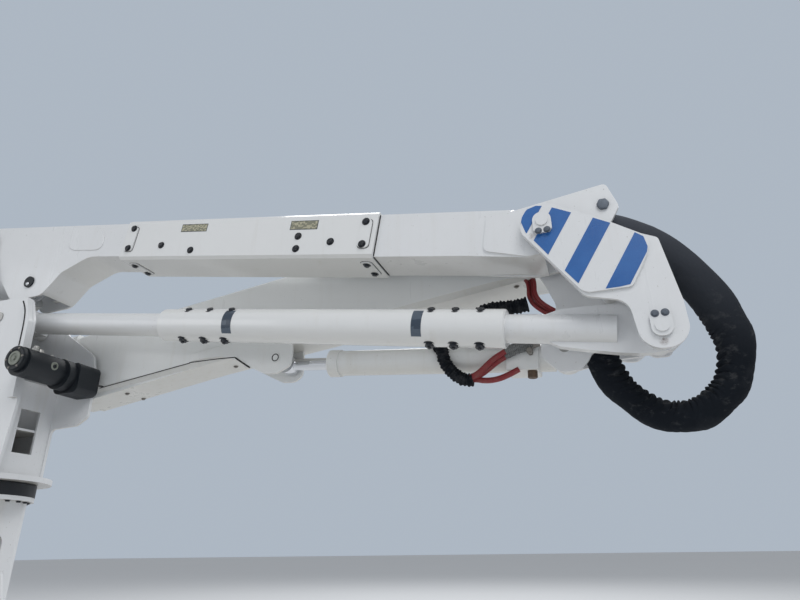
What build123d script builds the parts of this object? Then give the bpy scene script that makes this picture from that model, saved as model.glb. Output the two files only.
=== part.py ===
"""Articulated aerial lift boom: the lifting assembly of a bucket truck, from its pedestal to its platform.

Millimetres. Origin at the centre of the pedestal's base bolt pattern, on the turning axis.
+X points to the front of the truck, +Y to its left side, +Z up. The boom is stowed: the lower boom
and its compensation link lie forward, and the upper boom lies back along their left side.
"""
import os
from math import cos, hypot, pi, radians, sin, tan

from build123d import *


def along(pin, slope, station, above):
    """World (x, z) of a place given along and above a boom axis."""
    b = radians(slope)
    return (pin[0] + station * cos(b) + above * sin(b), pin[1] - station * sin(b) + above * cos(b))


# Pivots in the XZ plane. A carries the lower boom on the elbow, B the link on the elbow.
LINK_LENGTH = 3466.0          # pin to pin, the same for the lower boom and the link
LINK_SLOPE = radians(8.5)     # stowed, both fall forward by this much
PIN_A = (3174.0, 1750.0)
PIN_B = (3551.0, 1240.0)
PIN_C = (PIN_A[0] - LINK_LENGTH * cos(LINK_SLOPE), PIN_A[1] + LINK_LENGTH * sin(LINK_SLOPE))
PIN_D = (PIN_C[0] + PIN_B[0] - PIN_A[0], PIN_C[1] + PIN_B[1] - PIN_A[1])
PIN_E = (3360.0, 1800.0)      # upper boom on the elbow
PIN_G = (3187.0, 1298.0)      # base of the upper cylinder on the elbow
LIFT_EYE = (486.0, -287.0)    # rod eye of the lift cylinder on the lower boom, from C
LIFT_BASE = (-236.0, -782.0)  # base of the lift cylinder on the turntable, from C
PIN_P = (PIN_C[0] + LIFT_EYE[0], PIN_C[1] + LIFT_EYE[1])
PIN_Q = (PIN_C[0] + LIFT_BASE[0], PIN_C[1] + LIFT_BASE[1])

PIN_FIT = 0.05                # radial running fit of every hinge pin in its bore
WASHER_GAP = 4.0              # side play between a boss and the plate beside it

# Lower boom, square across its own axis, which falls forward from C to A
BOOM_SLOPE = 9.7              # degrees, of the steel box and the insert
STEEL_HALF = 110.0
STEEL_TOP = 93.0              # above the line through A
STEEL_BOTTOM = -127.0
STEEL_WALL = 12.0
INSERT_HALF = 130.0
INSERT_TOP = 102.0
INSERT_BOTTOM = -136.0
INSERT_EDGE = 14.0            # bevel along the insert's four long edges
BOOM_REAR = -LINK_LENGTH * cos(radians(BOOM_SLOPE) - LINK_SLOPE)  # station of pin C, from A
INSERT_REAR = BOOM_REAR + 1171.0
INSERT_FRONT = -766.0
STUB = 250.0                  # steel that reaches into each end of the insert
BOOM_PIN = 36.0               # radius of pins A and C
HEAD_END = 10.0               # station where the head's underside ends
PAD = (58.0, 150.0, 7.0)      # insert end pads: along, across, thick

# Compensation link
TUBE_RADIUS = 62.0
TUBE_BORE = 52.0
SLEEVE_RADIUS = 85.0
SLEEVE = (PIN_D[0] + 1057.0, PIN_B[0] - 583.0)  # insert of the link, from this x to this x
LINK_LIFT = (18.0, 36.0)      # tube axis above the pins at D and at B
LINK_PIN = 30.0
FORK_HALF = 55.0              # half width of the link's flat rear end
FORGING_HALF = 20.0           # half width of the deep plate at pin B
TUBE_SHORT = 148.0            # from pin B to the end of the link's tube

# Elbow plates, from the right: near the lower boom, between the booms, and outside the upper boom
PLATE = 16.0
DOUBLER = 10.0                # plate welded on the right one round pin A
RIGHT_PLATE = -156.0          # outer face
INNER_PLATE = 70.0            # face towards the link, carries the left end of pin B
MIDDLE_PLATE = 140.0          # face towards the lower boom
LEFT_PLATE = 460.0            # face towards the upper boom
BASE_PLATE = 378.0            # face towards the upper cylinder's base, carries the left end of pin G

# Upper boom, square across its own axis, which rises forward to the elbow
UPPER_SLOPE = -7.2            # degrees
UPPER_RIGHT = 178.0
UPPER_LEFT = 438.0
UPPER_MIDDLE = (UPPER_RIGHT + UPPER_LEFT) / 2
UPPER_TOP = 285.0             # above the line through E
UPPER_BOTTOM = -97.0
UPPER_EDGE = 24.0             # depth of the bevel along the lower edges
UPPER_WALL = 10.0
UPPER_REAR = -3060.0          # open end of the outer section
UPPER_FRONT = -300.0
COLLAR = 90.0                 # length of the collar round the open end
KEEL = (30.0, 880.0)          # wedge under the rear: deepest behind, and its length
UPPER_PIN = 38.0
LUG_STATION = -1645.0         # rod eye of the upper cylinder, along the upper boom
LUG_DROP = 77.0               # and below its underside
LUG_PLATE = 16.0
LUG_RIGHT = UPPER_RIGHT - 8.0     # outer face of the lug's right plate, proud of the boom's side
LUG_LEFT = UPPER_MIDDLE + 64.0    # outer face of its left plate, below the boom
LUG_CAP = 4.0
PIN_L = along(PIN_E, UPPER_SLOPE, LUG_STATION, UPPER_BOTTOM - LUG_DROP)

# Telescoping section inside the outer one
INNER_GAP = 8.0               # to the outer section's walls
INNER_WALL = 16.0
INNER_REAR = -4180.0
INNER_FRONT = -1250.0
SLIDE_PAD = 7.0

# Platform
BASKET = (620.0, 760.0, 1070.0)   # along the truck, across it, tall
BASKET_WALL = 6.0
BASKET_LIP = 34.0
TIP_REACH = 150.0             # levelling pivot beyond the inner section's end
BASKET_OFF = 330.0            # from the levelling pivot to the platform's front wall
LEVEL_PIN = 22.0

# Cylinders
BARREL_RADIUS = 64.0
ROD_RADIUS = 31.8
LIFT_BARREL_RADIUS = 57.0
LIFT_ROD_RADIUS = 31.8
CYLINDER_PIN = 25.0
EYE_RADIUS = 38.0
UPPER_EYE_RADIUS = 52.0
UPPER_EYE_HALF = 40.0
UPPER_BARREL = 1175.0         # from the base pin to the gland
UPPER_ROD_INSIDE = 960.0      # rod that stays in the barrel when closed
LIFT_BARREL = 770.0
LIFT_ROD_INSIDE = 560.0
LIFT_BOSS = 66.0              # inner faces of the lower boom's bosses beside the rod eye
ROD_GAP = 4.0                 # side play between a rod's pin and what carries it

# Turntable and pedestal
TURN_LEVEL = 860.0            # underside of the turntable's deck
DECK = 28.0
DECK_RADIUS = 400.0
TURN_PLATE = 16.0
TURN_INNER = 140.0            # inner faces of the turntable's side plates
TURN_REAR = PIN_Q[0] - 110.0  # rear edge of the side plates
WEB_FRONT = PIN_D[0] + 207.0  # front cross plate
PUMP_AT = (PIN_D[0] + 397.0, PIN_D[1] - 329.0)  # axis of the pump that hangs crosswise before the turntable
PUMP_RIGHT = -300.0           # its free end
RING_RADIUS = 330.0
RING_TALL = 64.0
RING_GAP = 6.0
BASE = (760.0, 620.0, 25.0)
BASE_HOLES = (660.0, 520.0)   # bolt spacing along and across
BASE_HOLE_RADIUS = 11.0
COLUMN = (470.0, 430.0)
COLUMN_WALL = 14.0
DECK_HOLE = 120.0             # radius of the hole for the hoses


ARC_SHARE = 0.48              # of the shorter side beside it, the most that a corner's arc takes


def line_face(corners):
    """Face in the XZ plane from (x, z, corner radius) rows."""
    edges = []
    count = len(corners)
    starts = []
    for i, (x, z, r) in enumerate(corners):
        before = corners[i - 1]
        after = corners[(i + 1) % count]
        a = Vector(before[0] - x, 0, before[1] - z).normalized()
        b = Vector(after[0] - x, 0, after[1] - z).normalized()
        here = Vector(x, 0, z)
        if r == 0:
            starts.append((here, None, here))
            continue
        half = radians(a.get_angle(b)) / 2
        room = min(hypot(before[0] - x, before[1] - z), hypot(after[0] - x, after[1] - z))
        reach = min(r / tan(half), ARC_SHARE * room)
        r = reach * tan(half)
        middle = (a + b).normalized()
        crown = here + middle * (r / sin(half) - r)
        starts.append((here + a * reach, crown, here + b * reach))
    for i in range(count):
        enter, crown, leave = starts[i]
        if crown is not None:
            edges.append(ThreePointArc(enter, crown, leave))
        edges.append(Line(leave, starts[(i + 1) % count][0]))
    return Face(Wire(edges))


def plate(corners, right, left):
    """Plate with the outline of the rows, between two y faces."""
    face = line_face(corners)
    return extrude(face, amount=left - right, dir=(0, 1, 0)).moved(Location((0, right, 0)))


def disc(pin, radius, right, left):
    """Round piece along Y about a pivot."""
    body = Cylinder(radius, left - right, rotation=(90, 0, 0))
    return body.moved(Location((pin[0], (right + left) / 2, pin[1])))


def tube_between(start, end, radius, y):
    """Round bar between two (x, z) points."""
    a = Vector(start[0], y, start[1])
    b = Vector(end[0], y, end[1])
    axis = Plane(origin=a, z_dir=(b - a))
    return extrude(axis * Circle(radius), amount=(b - a).length)


def box_between(x0, x1, y0, y1, z0, z1):
    body = Box(x1 - x0, y1 - y0, z1 - z0)
    return body.moved(Location(((x0 + x1) / 2, (y0 + y1) / 2, (z0 + z1) / 2)))


def beam(x0, x1, y0, y1, z0, z1, top_edge=0.0, bottom_edge=0.0):
    """Bar along X whose cross section has bevelled edges."""
    t = top_edge
    b = bottom_edge
    points = [(y0 + b, z0), (y1 - b, z0), (y1, z0 + b), (y1, z1 - t), (y1 - t, z1), (y0 + t, z1),
              (y0, z1 - t), (y0, z0 + b)]
    kept = [p for i, p in enumerate(points) if p != points[i - 1]]
    wire = Polyline(*[(x0, y, z) for y, z in kept], close=True)
    return extrude(Face(Wire(wire.edges())), amount=x1 - x0, dir=(1, 0, 0))


def on_axis(shape, pin, slope):
    """Place a shape drawn along X on an inclined boom axis through a pin."""
    return shape.moved(Location((pin[0], 0, pin[1]), (0, slope, 0)))


def from_pin(pin, rows):
    """Outline rows given from a pivot."""
    return [(pin[0] + x, pin[1] + z, r) for x, z, r in rows]


def boom_point(station, above):
    return along(PIN_A, BOOM_SLOPE, station, above)


def upper_point(station, above):
    return along(PIN_E, UPPER_SLOPE, station, above)


def fuse(pieces):
    whole = pieces[0]
    for piece in pieces[1:]:
        whole = whole + piece
    return whole


# Pedestal

def pedestal():
    length, width, thick = BASE
    top = TURN_LEVEL - RING_GAP - RING_TALL
    base = Box(length, width, thick).moved(Location((0, 0, thick / 2)))
    base = fillet(base.edges().filter_by(Axis.Z), 40)
    for step_x in (-1, 1):
        for step_y in (-1, 1):
            place = Location((step_x * BASE_HOLES[0] / 2, step_y * BASE_HOLES[1] / 2, thick))
            base = base - Cylinder(BASE_HOLE_RADIUS, 3 * thick).moved(place)
    wall = COLUMN_WALL
    outer = Box(COLUMN[0], COLUMN[1], top - thick).moved(Location((0, 0, (top + thick) / 2)))
    outer = fillet(outer.edges().filter_by(Axis.Z), 45)
    inner = Box(COLUMN[0] - 2 * wall, COLUMN[1] - 2 * wall, top).moved(Location((0, 0, top / 2)))
    inner = fillet(inner.edges().filter_by(Axis.Z), 31)
    column = outer - inner.moved(Location((0, 0, thick)))
    gussets = []
    rib = 14.0
    for sx in (-1, 1):
        for y in (-130.0, 130.0):
            x0 = sx * COLUMN[0] / 2
            x1 = sx * (length / 2 - 26)
            rows = [(x0, thick, 0), (x1, thick, 0), (x1, thick + 40, 0), (x0, 430, 0)]
            gussets.append(plate(rows, y - rib / 2, y + rib / 2))
    cap = Cylinder(RING_RADIUS, 22).moved(Location((0, 0, top - 11)))
    cap = cap - Cylinder(150, 60).moved(Location((0, 0, top)))
    window = Box(COLUMN[0] + 80, 190, 250).moved(Location((0, 0, 480)))
    window = fillet(window.edges().filter_by(Axis.X), 50)
    return fuse([base, column - window, cap] + gussets)


def ring_lower():
    """Outer race of the slewing bearing, bolted on the pedestal."""
    base = TURN_LEVEL - RING_GAP - RING_TALL
    race = Cylinder(RING_RADIUS, RING_TALL).moved(Location((0, 0, base + RING_TALL / 2)))
    return race - Cylinder(RING_RADIUS - 70, RING_TALL * 2).moved(Location((0, 0, base)))


# Turntable

def turn_deck():
    deck_top = TURN_LEVEL + DECK
    hole = Cylinder(DECK_HOLE, DECK * 3).moved(Location((0, 0, TURN_LEVEL)))
    deck = Cylinder(DECK_RADIUS, DECK).moved(Location((0, 0, TURN_LEVEL + DECK / 2)))
    rows = [(TURN_REAR - 20, TURN_LEVEL, 0), (0, TURN_LEVEL, 0), (0, deck_top, 0), (TURN_REAR - 20, deck_top, 0)]
    tail = plate(rows, -TURN_INNER - TURN_PLATE, TURN_INNER + TURN_PLATE)
    return (deck + tail) - hole


# Side plates: rows of the front edge from pin D, and of the top round pin C
RIGHT_FRONT = [(297, -512, 60), (275, -52, 120), (222, 86, 55), (127, 108, 40)]
LEFT_FRONT = [(229, -603, 30), (407, -594, 20), (477, -552, 30), (473, -312, 60), (437, -192, 70),
              (207, -37, 40), (147, 98, 60)]
TURN_TOP = [(284, -404, 90), (125, -40, 60), (110, 120, 115), (-120, 110, 110), (-150, -90, 80)]


def turn_outline(foot, front):
    """Side plate outline; the front foot and edge differ from side to side."""
    deck_top = TURN_LEVEL + DECK
    return ([(TURN_REAR, deck_top, 0), (PIN_D[0] + foot, deck_top, 0)] + from_pin(PIN_D, front)
            + from_pin(PIN_C, TURN_TOP) + [(TURN_REAR + 10, PIN_Q[1] + 80, 90)])


def turn_side_right():
    inner = -TURN_INNER
    side = plate(turn_outline(267, RIGHT_FRONT), inner - TURN_PLATE, inner)
    return drill_turn(side)


def turn_side_left():
    inner = TURN_INNER
    side = plate(turn_outline(227, LEFT_FRONT), inner, inner + TURN_PLATE)
    return drill_turn(side)


def drill_turn(side):
    for pin, radius in ((PIN_C, BOOM_PIN), (PIN_D, LINK_PIN), (PIN_Q, CYLINDER_PIN)):
        side = side - disc(pin, radius, -300, 300)
    return side


def turn_webs():
    """Cross plates between the side plates, and the right plate's bent front flange."""
    inner = TURN_INNER
    deck_top = TURN_LEVEL + DECK
    web = 14.0
    front = box_between(WEB_FRONT, WEB_FRONT + web, -inner, inner, deck_top, 1380)
    front = front - box_between(WEB_FRONT - web, WEB_FRONT + 3 * web, -60, 60, 1000, 1230)
    rear = box_between(TURN_REAR + 4, TURN_REAR + 4 + web, -inner, inner, deck_top, PIN_Q[1] - 150)
    floor = box_between(TURN_REAR + 4 + web, WEB_FRONT, -inner, inner, 1120, 1132)
    back_tube = disc((PIN_C[0] - 150, PIN_C[1] - 170), 32, -inner, inner)
    rows = from_pin(PIN_D, [(255, -492, 0), (297, -492, 0), (273, -62, 60), (222, 86, 40), (195, 70, 0),
                            (237, -72, 60)])
    flange = plate(rows, -inner - TURN_PLATE - 30, -inner - TURN_PLATE)
    return fuse([front, rear, floor]), back_tube, flange


def turn_pins():
    """Pins C, D and Q, nearly flush on the left, where the upper boom passes."""
    out = TURN_INNER + TURN_PLATE
    pins = []
    for pin, radius in ((PIN_C, BOOM_PIN), (PIN_D, LINK_PIN), (PIN_Q, CYLINDER_PIN)):
        pins.append(disc(pin, radius, -out - 6, out + 2))
    return pins


def rotation_drive():
    """Worm gearbox with its hydraulic motor beside the deck's rear."""
    side = 150.0
    y = 100.0 - DECK_RADIUS
    z = TURN_LEVEL + DECK + side / 2
    box = Box(190, side, side).moved(Location((-200, y, z)))
    box = fillet(box.edges(), 14)
    motor = Cylinder(48, 150, rotation=(0, 90, 0)).moved(Location((-365, y, z)))
    cover = Cylinder(62, 30).moved(Location((-200, y, z + side / 2 + 10)))
    return fuse([box, motor, cover])


def auxiliary_pump():
    """Motor and pump that hang crosswise on the left side plate, before the turntable's front."""
    x, z = PUMP_AT
    y = PUMP_RIGHT
    motor = [disc(PUMP_AT, 66, y, y + 24), disc((x + 4, z - 10), 76, y + 24, y + 250),
             disc((x + 20, z - 20), 84, y + 250, y + 300)]
    block = box_between(x - 50, x + 118, y + 300, TURN_INNER, z - 116, z + 50)
    block = fillet(block.edges().filter_by(Axis.Y), 34)
    return fuse(motor + [block])


# Lower boom

def lower_boom_rear():
    """Gooseneck: box that opens downwards into two cheeks with the lug of the lift cylinder."""
    half = STEEL_HALF
    front = INSERT_REAR + STUB
    low = STEEL_BOTTOM + 15
    rows = [boom_point(front, STEEL_TOP) + (0,), boom_point(BOOM_REAR + 25, STEEL_TOP) + (140,)]
    rows += from_pin(PIN_C, [(-118, 5, 100), (-70, -112, 90), (134, -112, 170), (372, -394, 78),
                             (599, -384, 80), (716, -262, 70), (904, -192, 160)])
    rows += [boom_point(front, low) + (0,)]
    body = plate(rows, -half, half)
    skin = 10.0
    hollow = [boom_point(front + 50, STEEL_TOP - skin) + (0,),
              boom_point(BOOM_REAR + 165, STEEL_TOP - skin) + (0,), boom_point(BOOM_REAR + 165, 300) + (0,)]
    hollow += from_pin(PIN_C, [(-546, 338, 0), (-546, -562, 0), (574, -562, 0), (606, -312, 30),
                               (712, -248, 60), (902, -178, 150)])
    hollow += [boom_point(front + 50, low + skin) + (0,)]
    body = body - plate(hollow, -half + STEEL_WALL, half - STEEL_WALL)
    boss_out = TURN_INNER - WASHER_GAP
    for side in (-1, 1):
        a, b = sorted((side * (half - STEEL_WALL), side * boss_out))
        body = body + disc(PIN_C, 74, a, b)
        a, b = sorted((side * LIFT_BOSS, side * (half - STEEL_WALL)))
        body = body + disc(PIN_P, 52, a, b)
    return body - disc(PIN_C, BOOM_PIN + PIN_FIT, -300, 300)


def lower_boom_insert():
    """Fibreglass section that isolates the boom, sleeved over the steel at both ends."""
    shell = beam(INSERT_REAR, INSERT_FRONT, -INSERT_HALF, INSERT_HALF, INSERT_BOTTOM, INSERT_TOP,
                 INSERT_EDGE, INSERT_EDGE)
    bore = beam(INSERT_REAR - 10, INSERT_FRONT + 10, -STEEL_HALF, STEEL_HALF, STEEL_BOTTOM, STEEL_TOP)
    return on_axis(shell - bore, PIN_A, BOOM_SLOPE)


HEAD_ROWS = [(3055.0, 1854.0, 60), (3446.0, 1906.0, 22), (3484.0, 1790.0, 26), (3444.0, 1722.0, 20),
             (3290.0, 1640.0, 60), (3100.0, 1625.0, 110)]


def lower_boom_head():
    """Steel box ahead of the insert, whose cheeks carry pin A and end in a raised nose."""
    half = STEEL_HALF
    skin = 9.0
    box_end = -150.0
    box = beam(INSERT_FRONT - STUB, box_end, -half, half, STEEL_BOTTOM, STEEL_TOP)
    room = beam(INSERT_FRONT - STUB - 10, box_end + 10, -half + STEEL_WALL, half - STEEL_WALL,
                STEEL_BOTTOM + skin, STEEL_TOP - skin)
    sole = beam(box_end - skin, HEAD_END, -half, half, STEEL_BOTTOM, STEEL_BOTTOM + skin)
    body = on_axis((box - room) + sole, PIN_A, BOOM_SLOPE)
    rows = [boom_point(-330, STEEL_TOP) + (0,)] + HEAD_ROWS + [boom_point(-330, STEEL_BOTTOM) + (0,)]
    doubler = 8.0
    for side in (-1, 1):
        a, b = sorted((side * (half - STEEL_WALL), side * half))
        body = body + plate(rows, a, b)
        a, b = sorted((side * half, side * (half + doubler)))
        body = body + plate([boom_point(-250, STEEL_TOP - 20) + (30,)] + HEAD_ROWS
                            + [boom_point(-250, STEEL_BOTTOM + 20) + (30,)], a, b)
        a, b = sorted((side * (half - STEEL_WALL), side * (MIDDLE_PLATE - WASHER_GAP)))
        body = body + disc(PIN_A, 70, a, b)
    body = body - disc(PIN_A, BOOM_PIN + PIN_FIT, -300, 300)
    return body - disc((3430, 1806), 17, -300, 300)


def lower_boom_pads():
    """Bolted pads that lock the insert on the steel, four round each end."""
    length, across, thick = PAD
    pads = []
    for station in (INSERT_REAR + 52, INSERT_FRONT - 52):
        a = station - length / 2
        b = station + length / 2
        middle = (INSERT_TOP + INSERT_BOTTOM) / 2
        for side in (-1, 1):
            y0, y1 = sorted((side * INSERT_HALF, side * (INSERT_HALF + thick)))
            pads.append(box_between(a, b, y0, y1, middle - across / 2, middle + across / 2))
            z0 = INSERT_TOP if side > 0 else INSERT_BOTTOM - thick
            pads.append(box_between(a, b, -across / 2, across / 2, z0, z0 + thick))
    rounded = [fillet(p.edges().filter_by(Axis.Z if i % 2 else Axis.Y), 20) for i, p in enumerate(pads)]
    return [on_axis(p, PIN_A, BOOM_SLOPE) for p in rounded]


def lift_pin_caps():
    """Ends of pin P outside the cheeks."""
    return [disc(PIN_P, 34, -STEEL_HALF - 10, -STEEL_HALF), disc(PIN_P, 34, STEEL_HALF, STEEL_HALF + 10)]


# Compensation link

def link_axis():
    """Tube axis, a little above the pins."""
    a = (PIN_D[0], PIN_D[1] + LINK_LIFT[0])
    b = (PIN_B[0], PIN_B[1] + LINK_LIFT[1])
    return a, b


def on_link(x):
    a, b = link_axis()
    return (x, a[1] + (b[1] - a[1]) * (x - a[0]) / (b[0] - a[0]))


def link_rear():
    """Round steel tube with the flat eye of pin D."""
    dx, dz = PIN_D
    tube = tube_between(on_link(dx + 67), on_link(SLEEVE[0] + 200), TUBE_RADIUS, 0)
    tube = tube - tube_between(on_link(dx + 157), on_link(SLEEVE[0] + 260), TUBE_BORE, 0)
    x, z = on_link(dx + 137)
    rows = [(dx - 8, dz + 56, 0), (x, z + 62, 0), (x, z - 62, 0), (dx - 8, dz - 56, 0)]
    eye = plate(rows, -FORK_HALF, FORK_HALF) + disc(PIN_D, 57, -FORK_HALF, FORK_HALF)
    boss = disc(PIN_D, 50, -TURN_INNER + WASHER_GAP, TURN_INNER - WASHER_GAP)
    return (tube + eye + boss) - disc(PIN_D, LINK_PIN + PIN_FIT, -300, 300)


def link_insert():
    """Fibreglass tube sleeved over both steel ends of the link."""
    rear, front = SLEEVE
    sleeve = tube_between(on_link(rear), on_link(front), SLEEVE_RADIUS, 0)
    sleeve = chamfer(sleeve.edges(), 5)
    return sleeve - tube_between(on_link(rear - 20), on_link(front + 20), TUBE_RADIUS, 0)


def link_front():
    """Steel tube slotted over the deep forged plate that hangs down to pin B."""
    front = SLEEVE[1]
    bx, bz = PIN_B
    tube = tube_between(on_link(front - 200), on_link(bx - TUBE_SHORT), TUBE_RADIUS, 0)
    tube = tube - tube_between(on_link(front - 260), on_link(bx - 461), TUBE_BORE, 0)
    rear = on_link(bx - 424)
    rows = [(rear[0], rear[1] + TUBE_RADIUS - 6, 0)] + from_pin(PIN_B, [
        (-356, 170, 0), (-236, 168, 0), (-133, 158, 70), (25, 98, 60), (90, 50, 60), (88, -10, 50),
        (40, -52, 50), (-27, -57, 0), (-81, -53, 0), (-159, -41, 0), (-280, -14, 0), (-374, 10, 0)])
    rows += [(rear[0], rear[1] - TUBE_RADIUS + 6, 0)]
    end = plate(rows, -FORGING_HALF, FORGING_HALF)
    boss = disc(PIN_B, 50, RIGHT_PLATE + PLATE + WASHER_GAP, INNER_PLATE - WASHER_GAP)
    return fuse([tube, end, boss]) - disc(PIN_B, LINK_PIN + 2.0, -300, 300)


# Elbow

ELBOW_ROWS = [  # x, z, radius: from the lobe about A, clockwise
    (3078.0, 1722.0, 60), (3108.0, 1830.0, 62), (3206.0, 1836.0, 66), (3400.0, 1722.0, 400),
    (3530.0, 1634.0, 60), (3598.0, 1600.0, 22), (3640.0, 1330.0, 90), (3646.0, 1166.0, 84),
    (3478.0, 1150.0, 84), (3452.0, 1358.0, 70), (3300.0, 1398.0, 60)]


def elbow_side(right, left):
    side = plate(ELBOW_ROWS, right, left)
    for pin, radius in ((PIN_A, BOOM_PIN), (PIN_B, LINK_PIN)):
        side = side - disc(pin, radius, right - 10, left + 10)
    return side


DOUBLER_ROWS = [(3078.0, 1722.0, 60), (3108.0, 1830.0, 62), (3206.0, 1836.0, 66), (3400.0, 1722.0, 400),
                (3565.0, 1606.0, 40), (3552.0, 1540.0, 30), (3478.0, 1408.0, 30), (3300.0, 1408.0, 60)]


def elbow_right():
    """Right plate with the doubler that spreads the load of pin A."""
    doubler = plate(DOUBLER_ROWS, RIGHT_PLATE - DOUBLER, RIGHT_PLATE)
    doubler = doubler - disc(PIN_A, BOOM_PIN, RIGHT_PLATE - 2 * DOUBLER, RIGHT_PLATE)
    return elbow_side(RIGHT_PLATE, RIGHT_PLATE + PLATE) + doubler


MIDDLE_ROWS = [(3078.0, 1722.0, 60), (3108.0, 1830.0, 62), (3300.0, 1880.0, 80), (3455.0, 1850.0, 80),
               (3530.0, 1634.0, 60), (3598.0, 1600.0, 22), (3600.0, 1330.0, 60), (3440.0, 1262.0, 60),
               (3300.0, 1262.0, 40), (3278.0, 1225.0, 40), (3245.0, 1188.0, 50), (3160.0, 1186.0, 60),
               (3084.0, 1262.0, 60), (3096.0, 1370.0, 60), (3180.0, 1480.0, 60), (3135.0, 1600.0, 60)]


def elbow_middle():
    side = plate(MIDDLE_ROWS, MIDDLE_PLATE, MIDDLE_PLATE + PLATE)
    for pin, radius in ((PIN_A, BOOM_PIN), (PIN_E, UPPER_PIN), (PIN_G, CYLINDER_PIN)):
        side = side - disc(pin, radius, 0, 300)
    return side


LEFT_ROWS = [(3245.0, 1700.0, 60), (3235.0, 1890.0, 90), (3455.0, 1905.0, 90), (3540.0, 1640.0, 80),
             (3545.0, 1330.0, 60), (3490.0, 1285.0, 60), (3400.0, 1300.0, 60), (3330.0, 1500.0, 80)]


def elbow_left():
    return plate(LEFT_ROWS, LEFT_PLATE, LEFT_PLATE + PLATE) - disc(PIN_E, UPPER_PIN, 300, 600)


CROSS = [  # x, z, radius, from y, to y
    (3492.0, 1580.0, 26.0, RIGHT_PLATE + PLATE, MIDDLE_PLATE),
    (3400.0, 1470.0, 30.0, RIGHT_PLATE + PLATE, MIDDLE_PLATE),
    (3470.0, 1560.0, 30.0, MIDDLE_PLATE + PLATE, LEFT_PLATE),
    (3470.0, 1345.0, 36.0, MIDDLE_PLATE + PLATE, LEFT_PLATE)]


def elbow_inner():
    """Plate between the right one and the middle one, welded round two cross tubes, down to pin B."""
    rows = [(3352.0, 1452.0, 40), (3394.0, 1536.0, 40), (3470.0, 1624.0, 40), (3540.0, 1600.0, 40),
            (3570.0, 1440.0, 90)]
    rows += from_pin(PIN_B, [(52, 0, 40), (46, -50, 46), (-46, -50, 46), (-60, 40, 60)])
    rows += [(3460.0, 1380.0, 60)]
    side = plate(rows, INNER_PLATE, INNER_PLATE + PLATE) - disc(PIN_B, LINK_PIN, 0, 300)
    for x, z, radius, right, left in CROSS[:2]:
        side = side - disc((x, z), radius, right, left)
    return side


def elbow_base():
    """Plate on the lower left cross tube, which carries the left end of pin G."""
    x, z, radius, right, left = CROSS[3]
    rows = from_pin(PIN_G, [(-46, 20, 40), (-20, 46, 40), (60, 40, 60)])
    rows += [(x - 20, z + 60, 40), (x + 60, z + 50, 40), (x + 50, z - 60, 40), (x - 40, z - 60, 60)]
    rows += from_pin(PIN_G, [(40, -46, 60), (-46, -46, 46)])
    side = plate(rows, BASE_PLATE, BASE_PLATE + PLATE) - disc((x, z), radius, right, left)
    return side - disc(PIN_G, CYLINDER_PIN, 300, 600)


def elbow_tubes():
    """Cross tubes that join the plates."""
    return [disc((x, z), r, a, b) for x, z, r, a, b in CROSS]


def elbow_pins():
    """Pins A, B, E and G."""
    rows = [(PIN_A, BOOM_PIN, RIGHT_PLATE - DOUBLER - 4, MIDDLE_PLATE + PLATE + 4),
            (PIN_B, LINK_PIN, RIGHT_PLATE - 4, INNER_PLATE + PLATE + 6),
            (PIN_E, UPPER_PIN, MIDDLE_PLATE, LEFT_PLATE + PLATE + 10),
            (PIN_G, CYLINDER_PIN, MIDDLE_PLATE, BASE_PLATE + PLATE + 6)]
    return [disc(pin, r, a, b) for pin, r, a, b in rows]


def keeper(pin, turn, face):
    """Shield-shaped pin retainer on the right plate or its doubler."""
    x, z = pin
    rows = [(x - 38, z + 40, 38), (x + 38, z + 40, 38), (x + 38, z - 40, 10), (x + 26, z - 56, 6),
            (x - 26, z - 56, 6), (x - 38, z - 40, 10)]
    body = plate(rows, face - 14, face - 4) + disc(pin, 25, face - 20, face - 14)
    spacer = box_between(x - 24, x + 24, face - 4, face, z - 54, z - 39)
    return (body + spacer).rotate(Axis((x, 0, z), (0, 1, 0)), turn)


HOSE_POINTS = [  # x, y, z along the loop, from inside the lower boom's nose to below the cylinder
    (3290.0, 0.0, 1800.0), (3366.0, 0.0, 1782.0), (3456.0, 0.0, 1742.0), (3544.0, 0.0, 1678.0),
    (3624.0, 0.0, 1596.0), (3712.0, 10.0, 1486.0), (3778.0, 30.0, 1366.0), (3816.0, 50.0, 1253.0),
    (3816.0, 72.0, 1150.0), (3778.0, 100.0, 1053.0), (3700.0, 130.0, 981.0), (3600.0, 162.0, 956.0),
    (3505.0, 194.0, 990.0), (3428.0, 218.0, 1058.0), (3372.0, 232.0, 1140.0), (3336.0, 236.0, 1224.0),
    (3326.0, 236.0, 1300.0)]
HOSE_RADIUS = 62.0


def hose_path(points, share=0.45):
    """Straight runs joined by arcs as large as the runs allow."""
    places = [Vector(*p) for p in points]
    radii = []
    for i in range(1, len(places) - 1):
        a = places[i] - places[i - 1]
        b = places[i + 1] - places[i]
        turn = radians(a.get_angle(b))
        radii.append(share * min(a.length, b.length) / tan(turn / 2))
    print("hose radii", [round(r) for r in radii])
    return FilletPolyline(*points, radius=radii)


def hose(points, radius):
    path = hose_path(points)
    section = Plane(origin=path @ 0, z_dir=path % 0) * Circle(radius)
    body = sweep(section, path=path)
    print("hose volume ratio", round(body.volume / (pi * radius ** 2 * path.length), 4))
    return body


# Upper boom

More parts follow.
